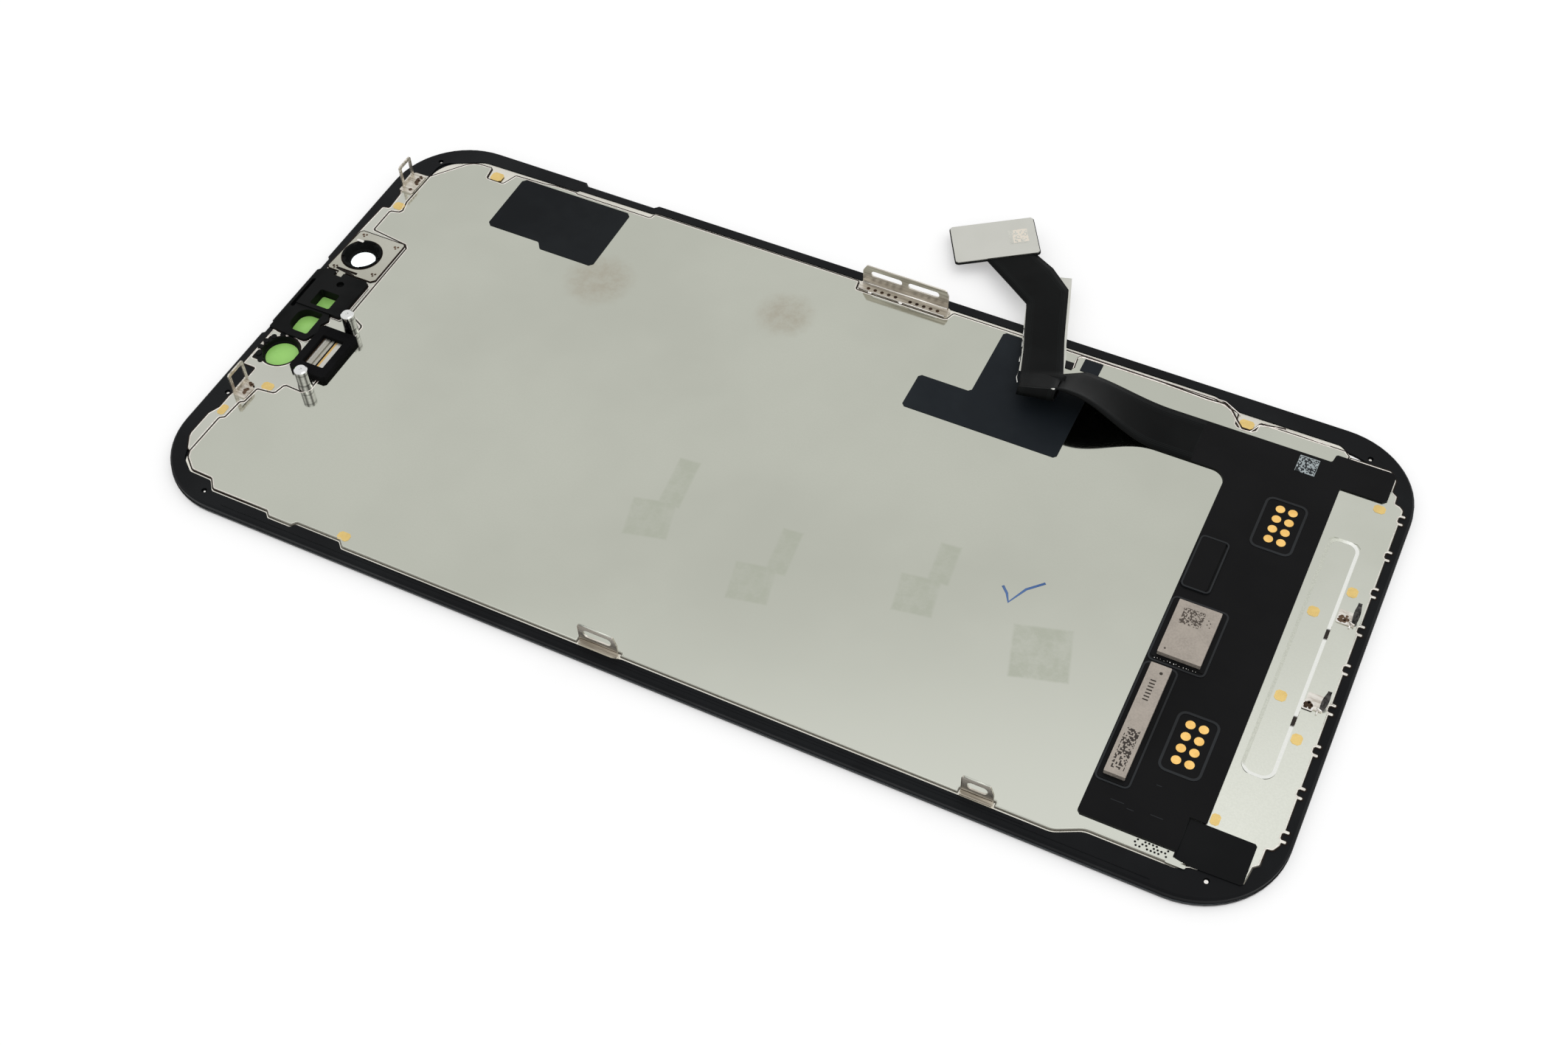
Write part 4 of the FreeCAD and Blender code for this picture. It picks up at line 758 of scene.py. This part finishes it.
# flexible tail: one smooth sheet over the arch, along the leg and under the stiffener
flexLook = {
    "thickness": 0.2, "rootX": 44.0, "flatX": 39.6, "archX": 28.2, "nearY": 21.225, "farY": 28.025,
    "base": 1.75, "nearCrest": 6.4, "farCrest": 3.264,
    "nearCrease": (26.45, 21.425, 6.1), "farCrease": (25.7, 26.525, 3.296),
    "legLeft": [(21.7, 21.425, 4.4), (21.0, 24.025, 3.9), (19.65, 28.625, 3.4), (18.3, 32.525, 3.2),
                (17.1, 36.125, 3.0), (13.6, 38.725, 2.75), (9.3, 42.025, 2.22), (8.9, 42.725, 2.18)],
    "legRight": [(26.45, 21.425, 6.1), (25.7, 26.525, 3.296), (24.55, 29.775, 3.15), (23.65, 32.325, 3.1),
                 (21.1, 40.575, 3.0), (17.9, 43.425, 2.95), (15.15, 45.025, 2.76), (14.75, 45.725, 2.72)],
    "tailCentre": (8.9, 45.725, 2.41), "tailTurn": (-2.82, -4.97, 29.6), "tailSize": (11.2, 7.15),
    "loopRadius": 0.65, "width": 6.8, "columns": 8,
}


def makeFlexBlack():
    # black film whose copper runs show as faint lines along its length
    material, tree, shader, place = startLook("flexBlack", 0.0, 0.045)
    over = axesOf(tree, addNode(tree, "UVMap", uv_map="along").outputs[0])["X"]
    field = grainAt(tree, place, 3600.0, 110.0)
    runs = spread(tree, calc(tree, "SINE", times(tree, over, 24.0)), 0.55, 0.95)
    fromMiddle = calc(tree, "ABSOLUTE", calc(tree, "SUBTRACT", over, flexLook["width"] / 2))
    border = times(tree, spread(tree, fromMiddle, 2.0, 2.3),
                  spread(tree, fromMiddle, 2.9, 3.0, 1.0, 0.0))
    runs = times(tree, times(tree, runs, border), 0.5)
    color = mixColor(tree, field["Smudges"], (15, 16, 16), (21, 22, 22))
    setLook(tree, shader, mixColor(tree, runs, color, (38, 42, 42)), field["Smudges"], 0.42, 0.32)
    bumpFrom(tree, shader, calc(tree, "ADD", runs, times(tree, field["Height"], 0.3)), 0.35, 0.03)
    return material


flexBlack = (makeFlexBlack(), "film_black")


def alongRun(stations, share):
    # straight stretches between the stations; share runs from 0 to their last index
    index = min(int(share), len(stations) - 2)
    return Vector(stations[index]).lerp(Vector(stations[index + 1]), share - index)


def sheetGrid(bm, uvLayer, rows, place, length):
    # a grid laid onto place(along, across), with its own map in millimetres
    columns = flexLook["columns"]
    made = bmesh.ops.create_grid(bm, x_segments=rows, y_segments=columns, size=0.5)
    shares = {}
    for vert in made["verts"]:
        shares[vert] = (round((vert.co.x + 0.5) * rows) / rows, round((vert.co.y + 0.5) * columns) / columns)
    faces = {f for v in made["verts"] for f in v.link_faces}
    for face in faces:
        for loop in face.loops:
            along, over = shares[loop.vert]
            loop[uvLayer].uv = (over * flexLook["width"], along * length)
    for vert, (along, over) in shares.items():
        vert.co = place(along, over)


def archPlace(along, over):
    look = flexLook
    whole = look["rootX"] - look["nearCrease"][0]
    run = whole * along
    flat = look["rootX"] - look["flatX"]
    arch = look["rootX"] - look["archX"]
    climb = 0.5 - 0.5 * cos(pi * min(max((run - flat) / (arch - flat), 0), 1))
    pull = max(run - arch, 0) / (whole - arch)
    sides = []
    for side in ("near", "far"):
        y = look[side + "Y"]
        crest = Vector((look["archX"], y, look[side + "Crest"]))
        rise = (crest.z - look["base"]) * climb
        sides.append(crest.lerp(Vector(look[side + "Crease"]), pull) if pull
                     else Vector((look["rootX"] - run, y, look["base"] + rise)))
    near, far = sides
    near.z += 0.12 * sin(pi * pull)
    sag = 0.18 * climb * sin(pi * over)
    return (near.lerp(far, over) - Vector((0, 0, sag))) * mm


def legPlace(along, over):
    look = flexLook
    share = along * (len(look["legLeft"]) - 1)
    left = alongRun(look["legLeft"], share)
    right = alongRun(look["legRight"], share)
    crown = 0.1 * sin(pi * over) * min(share, 1.0)
    return (left.lerp(right, 1 - over) + Vector((0, 0, crown))) * mm


def loopPlace(along, over):
    # the bend under the leg's near end, which turns the film back below itself
    look = flexLook
    bendShare = 0.6
    top = Vector(look["legLeft"][0]).lerp(Vector(look["legRight"][0]), 1 - over)
    radius = look["loopRadius"] + 0.3 * (1 - over)
    bend = min(along / bendShare, 1.0) * pi
    beyond = max(along - bendShare, 0) / (1 - bendShare) * 4.0
    return (top + Vector((0, -radius * sin(bend) + beyond, -radius * (1 - cos(bend))))) * mm


def makeFlexSheet():
    bm = bmesh.new()
    uvLayer = bm.loops.layers.uv.new("along")
    for rows, place, length in ((60, archPlace, 21.0), (56, legPlace, 30.0), (20, loopPlace, 8.0)):
        sheetGrid(bm, uvLayer, rows, place, length)
    bmesh.ops.remove_doubles(bm, verts=bm.verts, dist=0.02 * mm)
    bmesh.ops.recalc_face_normals(bm, faces=bm.faces)
    sheet = keepPiece("flexSheet", bm, flexBlack, smooth=True)
    shell = sheet.modifiers.new("thickness", "SOLIDIFY")
    shell.thickness = flexLook["thickness"] * mm
    shell.offset = -1.0
    return sheet


tailTurn = Euler([radians(angle) for angle in flexLook["tailTurn"]])
tailPlane = Matrix.Translation(point(*flexLook["tailCentre"])) @ tailTurn.to_matrix().to_4x4()


def makeFlexTail():
    bm = bmesh.new()
    uvLayer = bm.loops.layers.uv.new("along")
    half = [side / 2 for side in flexLook["tailSize"]]
    raisedPatch(bm, (-half[0], -half[1]), half, -0.4, flexLook["thickness"], 0.5)
    for face in bm.faces:
        for loop in face.loops:
            loop[uvLayer].uv = (loop.vert.co.x / mm, loop.vert.co.y / mm)
    bmesh.ops.transform(bm, matrix=tailPlane, verts=bm.verts)
    keepPiece("flexTail", bm, flexBlack)


flexSheet = makeFlexSheet()
makeFlexTail()
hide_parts("display_flex")

# what shows round the tail: a painted highlight along its fold, a painted gleam on the fold, silver edges of
# the ply below, a black patch beside the leg
foldHighlight = matt("foldLineSheen", (34, 35, 35), (52, 53, 53), 0.4, 0.55, 0.1)
sliverAndGleam = (satin("sliverSilverGleam", (228, 228, 224), (182, 182, 176), 0.15, 0.3, 2600.0, 0.1), "silver_ply")
wirePiece("foldLine", [[(21.75, 21.36, 4.42), (24.2, 21.34, 5.28), (26.4, 21.36, 6.12)]], 0.05,
          (foldHighlight, "film_black"))
wirePiece("foldGleam", [[(25.85, 21.32, 5.9), (26.3, 21.3, 6.08)]], 0.13, sliverAndGleam)
wirePiece("legSlivers", [
    [(19.35, 28.9, 3.0), (18.95, 30.1, 2.95)], [(18.8, 30.7, 2.95), (18.35, 32.1, 2.9)],
    [(20.0, 26.3, 3.1), (19.75, 27.2, 3.05)],
    [(20.55, 24.6, 3.3), (20.75, 23.4, 3.5), (21.2, 22.5, 3.7)]], 0.07, sliverAndGleam)
patchPiece("legBlackPatch", [(24.55, 29.1, 25.95, 30.25)], 1.56, 0.1,
           finishOf("display_connector", "film_black"), 0.15)
print("flexible tail")

# printed and stamped marks, all generic
chipInk = (matt("markInk", (62, 57, 52), (78, 72, 66), 0.4, 0.6, 0.1), "chip_lid")
inkAndShadowBlack = matt("laserInkAndShadow", (10, 10, 10), (22, 22, 21), 0.4, 0.6, 0.1)
relief = (matt("reliefBlack", (27, 29, 31), (38, 41, 44), 0.35, 0.5, 0.2), "film_black")
weldAndShade = (satin("weldBrownAndShade", (104, 84, 68), (44, 34, 28), 0.3, 0.5, 5000.0, 0.5), "bright_steel")
# bright steel: painted highlights along bends, lips, bumps, rims and leaf feet, and the plain bright tone of
# solder specks and pins
brightSteelAndHighlight = (brushed("brightSteelHighlight", (240, 238, 234), (206, 201, 194), 0.12, 0.24, 2600.0, 0.2), "bright_steel")
penBlue = (matt("penBlue", (78, 112, 170), (120, 148, 192), 0.4, 0.6, 0.2), "rear_steel")
stiffenerCode = coded("stiffenerCode", (200, 200, 192), (226, 218, 205), 0.2, (11.9, 47.6, 2.8),
                      (2.3, 2.5), flexLook["tailTurn"], 0.6, 0.85, 0.4)

# in the stiffener's own tilted plane, heights counted from its top
patchPiece("stiffenerMark", [(1.9, -1.3, 4.4, 1.4)], 0.0, 0.008, (stiffenerCode, "stiffener_steel"), 0.1,
           frame=tailPlane)
pins = [(-3.9 + i * 0.35, -0.85, -3.74 + i * 0.35, 2.05) for i in range(23)]
patchPiece("connectorPins", pins, -1.34, 0.04, finishOf("contact_pads_far", "gold"), 0.0, frame=tailPlane)
patchPiece("connectorRim", [(-4.1, 0.1, 4.1, 1.1)], -1.42, 0.12,
           finishOf("display_connector", "connector_black"), 0.1, frame=tailPlane)

boardTop = 1.75
contacts = [(53.9, 12.0, 59.0, 20.0), (54.2, -20.7, 59.0, -12.6)]
patchPiece("contactFrames", contacts, boardTop, 0.05, relief, 1.0, 0.3)
chips = [(48.6, -7.9, 55.3, 1.6), (48.6, -24.6, 52.6, -8.1)]
patchPiece("boardFrames", chips, boardTop, 0.075, relief, 0.7, 0.22)
patchPiece("hiddenChipFrame", [(48.75, 3.1, 52.25, 11.1)], boardTop, 0.2, relief, 0.6, 0.2)
patchPiece("boardScratches", [
    (51.2, -26.32, 52.7, -26.24), (53.1, -26.72, 53.9, -26.64), (55.6, -26.36, 57.0, -26.28),
    (55.0, -22.7, 55.6, -22.62)], boardTop, 0.012, relief, 0.03)
wirePiece("tapeJoint", [[(59.42, -24.95, 1.63), (59.42, -29.85, 1.63)]], 0.12,
          finishOf("corner_tape", "film_black"))

random.seed(7)
solder = [(49.5 + i * 0.36 + random.uniform(-0.1, 0.1), -7.45 + random.uniform(-0.08, 0.08),
           random.uniform(0.05, 0.1)) for i in range(14)]
dotPiece("solderSpecks", solder, 1.81, 0.08, brightSteelAndHighlight, 8)
chipTop = 2.413
dotPiece("chipDots", [
    (50.15, -6.2, 0.12), (50.9, -9.6, 0.2), (53.4, -0.7, 0.08), (53.7, -1.0, 0.08), (53.4, -1.3, 0.08),
    (53.75, -1.6, 0.08)], chipTop, 0.004, chipInk, crown=1.0)
tallies = [(50.1, -10.9 - i * 0.45, 50.75, -10.72 - i * 0.45) for i in range(7)]
patchPiece("chipTallies", tallies, chipTop, 0.003, chipInk, 0.02)
laserDots = []
for column in range(9):
    for row in range(4):
        if random.random() < 0.7:
            shift = 0.2 if row % 2 else 0.0
            laserDots.append((55.2 + column * 0.41 + shift, -29.15 - row * 0.36, 0.13))
dotPiece("laserDots", laserDots, 1.55, 0.01, (inkAndShadowBlack, "rear_steel"), 8, 1.0)
patchPiece("stripTip", [(58.7, -30.85, 60.9, -30.4)], 1.635, 0.01, finishOf("rear_plate", "rear_steel"))

# a generic inspection tick in blue pen
penLevel = 1.552
tick = [(x, y, penLevel) for x, y in ((30.6, -5.2), (31.4, -6.0), (32.0, -7.1), (33.2, -4.6), (34.9, -2.9))]
wirePiece("penTick", [tick], 0.16, penBlue, flatten=(penLevel, 0.06))
print("marks")

# welds, bends and small steel details
weldY = 31.45
welds = [(-2.75 + i * 0.95, weldY, 0.25) for i in range(5)]
welds += [(3.1 + i * 0.95, weldY - 0.03, 0.25) for i in range(5)]
dotPiece("bracketWelds", welds, 1.6, 0.03, weldAndShade, 10, 0.5)
# painted highlights along the bracket's bend and front lip, and on its two bumps
wirePiece("bracketBend", [[(-3.8, 32.2, 1.68), (7.9, 32.2, 1.68)]], 0.13, brightSteelAndHighlight)
wirePiece("bracketFrontLip", [[(-4.0, 31.02, 1.58), (8.0, 30.9, 1.58)]], 0.07, brightSteelAndHighlight)
dotPiece("bracketBumps", [(-2.3, 30.95, 0.3), (2.0, 30.9, 0.3)], 1.57, 0.09, brightSteelAndHighlight, 12)
for name, left, right, leafY in (
        ("sideClipLeft", -9.6, -4.6, -32.025), ("sideClipRight", 36.5, 40.3, -31.825)):
    # painted highlight along the bend at the foot, painted shade along the upright's foot and left edge,
    # painted highlight along its top
    wirePiece(name + "Bend", [[(left + 0.05, leafY + 0.02, 1.62), (right - 0.05, leafY + 0.02, 1.62)]], 0.12,
              brightSteelAndHighlight)
    wirePiece(name + "Shade", [
        [(left + 0.15, leafY - 0.12, 2.0), (right - 0.15, leafY - 0.12, 2.0)],
        [(left + 0.1, leafY - 0.1, 2.2), (left + 0.1, leafY - 0.1, 4.2)]], 0.11, weldAndShade)
    wirePiece(name + "Top", [[(left + 0.3, leafY - 0.1, 4.6), (right - 0.6, leafY - 0.1, 4.6)]], 0.1, edge)

random.seed(3)
for name, (x, y), (reachX, reachY), count, level in (
        ("hookWeldsFar", (-66.75, 23.8), (0.25, 1.4), 11, 1.75),
        ("hookWeldsNear", (-65.85, -16.8), (0.25, 1.0), 9, 1.75),
        ("springWeldsFar", (66.8, 6.5), (0.45, 0.45), 10, 1.67),
        ("springWeldsNear", (66.5, -6.0), (0.45, 0.45), 10, 1.67)):
    spots = [(x + random.uniform(-reachX, reachX), y + random.uniform(-reachY, reachY),
              random.uniform(0.18, 0.28)) for i in range(count)]
    dotPiece(name, spots, level, 0.025, weldAndShade, 9, 0.5)
for name, x, y in (("A", -67.6, 12.5), ("B", -62.5, 12.2), ("C", -62.5, 6.7), ("D", -68.0, 6.0)):
    spots = [(x - 0.22, y, 0.19), (x + 0.2, y + 0.12, 0.17), (x + 0.02, y - 0.26, 0.15)]
    dotPiece("cameraWeld" + name, spots, 1.67, 0.02, weldAndShade, 9, 0.5)
dotPiece("rimPins", [
    (63.3, -31.025, 0.26), (63.3, 30.625, 0.2), (-61.1, -32.325, 0.14), (-66.2, 29.225, 0.16),
    (-67.9, -18.125, 0.2)], 1.2, 0.06, brightSteelAndHighlight, 14, 0.9)

channelLook = {
    "low": (62.15, -17.15), "high": (65.95, 17.45), "top": 1.556, "floor": 1.496, "corner": 1.5,
    "slope": 0.42, "bits": ((3.15, 4.35), (-9.35, -8.25)), "bitSoft": 0.3,
}


def makeChannelSteel():
    # painted highlight: the slope facing the light is painted bright, the other one fades into the sheet
    look = channelLook
    material, tree, shader, place = startLook("channelSteel", 1.0)
    axes = axesOf(tree, place)
    field = grainAt(tree, place)
    share = calc(tree, "MAXIMUM", spread(tree, axes["X"], 63.0 * mm, 65.3 * mm),
                 spread(tree, axes["Y"], -16.6 * mm, -15.8 * mm, 1.0, 0.0))
    pale = mixColor(tree, field["Smudges"], (182, 184, 173), (190, 192, 181))
    color = mixColor(tree, share, pale, (228, 229, 224))
    farSlope = spread(tree, axes["X"], 65.2 * mm, 65.3 * mm)
    for low, high in look["bits"]:
        bit = within(tree, axes["Y"], low * mm, high * mm, look["bitSoft"] * mm)
        color = mixColor(tree, times(tree, bit, farSlope), color, (52, 48, 45))
    setLook(tree, shader, color, field["Speckle"], 0.22, 0.34)
    return material


def makeChannelRim():
    # sloped ring from the sheet down to the channel's floor
    look = channelLook
    left, near = look["low"]
    right, far = look["high"]
    bm = bmesh.new()
    face = roundedFace(bm, right - left, far - near, look["corner"], 8)
    bmesh.ops.inset_region(bm, faces=[face], thickness=look["slope"] * mm, use_boundary=True,
                           depth=(look["floor"] - look["top"]) * mm, use_even_offset=True)
    bmesh.ops.delete(bm, geom=[face], context="FACES")
    bmesh.ops.translate(bm, verts=bm.verts, vec=point((left + right) / 2, (near + far) / 2, look["top"]))
    keepPiece("channelSlopes", bm, (makeChannelSteel(), "bracket_steel"), smooth=True)


makeChannelRim()


def slantedLeaf(name, foot, tip, halfWidth, finish):
    # a thin tongue that rises from its foot to its free tip
    bm = bmesh.new()
    verts = bmesh.ops.create_grid(bm, x_segments=10, y_segments=3, size=0.5)["verts"]
    for vert in verts:
        along = vert.co.x + 0.5
        place = Vector(foot).lerp(Vector(tip), along)
        half = halfWidth * (0.75 + 0.5 * sin(pi * min(along * 1.15, 1)))
        vert.co = point(place.x + 2 * vert.co.y * half, place.y, place.z + 0.12 * sin(pi * along))
    bmesh.ops.solidify(bm, geom=bm.faces[:], thickness=0.12 * mm)
    bmesh.ops.recalc_face_normals(bm, faces=bm.faces)
    keepPiece(name, bm, finish)


# painted shade: the slanted leaves are spring steel painted near black, as they turn away from the light
leafShadeSteel = (brushed("springLeaf", (22, 22, 23), (78, 76, 74), 0.15, 0.3, 1800.0, 0.6), "bright_steel")
for name, (x, y), tip in (
        ("leafFar", (68.08, 6.18), (68.01, 8.12)), ("leafNear", (68.02, -6.36), (68.26, -4.68))):
    slantedLeaf(name, (x, y, 1.72), (*tip, 3.25), 0.3, leafShadeSteel)
    wirePiece(name + "Foot", [
        [(x - 0.5, y + 0.15, 1.7), (x + 0.1, y - 0.1, 1.72)],
        [(x - 0.35, y - 0.1, 1.66), (x - 0.35, y - 0.7, 1.62)]], 0.11, brightSteelAndHighlight)
for name, x, y in (("squareFar", 66.75, 6.4), ("squareNear", 66.55, -6.25)):
    patchPiece(name + "Rim", [(x - 0.6, y - 0.6, x + 0.6, y + 0.6)], 1.66, 0.012, brightSteelAndHighlight, 0.15)
    patchPiece(name, [(x - 0.45, y - 0.42, x - 0.02, y + 0.42), (x + 0.08, y - 0.42, x + 0.42, y + 0.38)],
               1.672, 0.008, weldAndShade, 0.1)

toothLook = {"x": -65.85, "y": -9.6, "circle": 2.75, "radius": 0.42}
ringTeeth = []
for angle in range(118, 239, 24):
    turn = radians(angle)
    ringTeeth.append((toothLook["x"] + toothLook["circle"] * cos(turn),
                      toothLook["y"] + toothLook["circle"] * sin(turn), toothLook["radius"]))
dotPiece("ringTeeth", ringTeeth, 1.2, 0.45, finishOf("sensor_holder", "holder_black"), 12, 0.9)
patchPiece("cameraGleam", [(-67.95, 11.0, -66.9, 11.35)], 1.875, 0.015, brightSteelAndHighlight, 0.1)
# painted shadow: a black strip in the shadowed gap along the camera bracket's near edge
patchPiece("cameraSlotShadow", [(-67.5, 5.45, -64.7, 5.75)], 1.672, 0.01, (inkAndShadowBlack, "bezel_black"), 0.12, turn=-8)
wirePiece("bezelRidges", [
    [(-58.0, -33.3, 1.498), (58.0, -33.3, 1.498)],
    [(-38.0, -32.95, 1.5), (44.0, -32.95, 1.5)]], 0.05, finishOf("bezel_frame", "bezel_black"))
print("welds and bends")

# pale floor, plain light, the photograph's viewing angle
stageLook = {
    "floorHalf": 1.6, "floorDrop": 0.02, "floor": (0.86, 0.86, 0.86, 1.0), "glow": 0.36, "world": 0.6,
}


def makeFloor():
    look = stageLook
    bm = bmesh.new()
    bmesh.ops.create_grid(bm, x_segments=1, y_segments=1, size=look["floorHalf"])
    bmesh.ops.translate(bm, verts=bm.verts, vec=(0, 0, -look["floorDrop"] * mm))
    mesh = bpy.data.meshes.new("floor")
    bm.to_mesh(mesh)
    bm.free()
    floor = addObject("floor", mesh)
    material = bpy.data.materials.new("paleFloor")
    material.use_nodes = True
    tree = material.node_tree
    tree.nodes.clear()
    paper = addNode(tree, "BsdfDiffuse")
    paper.inputs["Color"].default_value = look["floor"]
    glow = addNode(tree, "Emission")
    path = addNode(tree, "LightPath").outputs
    seen = calc(tree, "MAXIMUM", path["Is Camera Ray"], path["Is Glossy Ray"])
    strength = calc(tree, "ADD", times(tree, seen, look["glow"]), path["Is Transmission Ray"])
    tree.links.new(strength, glow.inputs["Strength"])
    both = addNode(tree, "AddShader")
    tree.links.new(paper.outputs[0], both.inputs[0])
    tree.links.new(glow.outputs[0], both.inputs[1])
    out = addNode(tree, "OutputMaterial")
    tree.links.new(both.outputs[0], out.inputs["Surface"])
    mesh.materials.append(material)


def makeWorld():
    world = bpy.data.worlds.new("studio")
    bpy.context.scene.world = world
    world.use_nodes = True
    tree = world.node_tree
    background = tree.nodes["Background"].inputs
    background["Color"].default_value = (1, 1, 1, 1)
    path = addNode(tree, "LightPath").outputs
    seen = calc(tree, "MAXIMUM", path["Is Camera Ray"], path["Is Glossy Ray"])
    seen = calc(tree, "MAXIMUM", seen, path["Is Transmission Ray"])
    tree.links.new(spread(tree, seen, 0.0, 1.0, stageLook["world"], 1.0, False), background["Strength"])


def areaLight(name, place, size, power):
    # a square light, aimed at the origin
    data = bpy.data.lights.new(name, "AREA")
    data.shape = "SQUARE"
    data.size = size
    data.energy = power
    lamp = addObject(name, data)
    lamp.location = place
    lamp.rotation_euler = (-Vector(place)).to_track_quat("-Z", "Y").to_euler()


def makeCamera():
    view = {"place": (68.618, -132.474, 182.519), "turn": (37.84086, 1.18152, 25.82615), "lens": 44.914}
    data = bpy.data.cameras.new("camera")
    data.lens = view["lens"]
    data.sensor_width = 36.0
    data.clip_start = 0.005
    data.clip_end = 20.0
    camera = addObject("camera", data)
    camera.location = point(*view["place"])
    camera.rotation_euler = Euler([radians(angle) for angle in view["turn"]])
    bpy.context.scene.camera = camera


makeFloor()
makeWorld()
areaLight("softbox", (0.5, -0.1, 1.3), 1.5, 4.6)
areaLight("rim", (0.9, 1.2, 1.15), 0.5, 0.9)
makeCamera()
bpy.context.scene.view_settings.view_transform = "Standard"
print("stage")
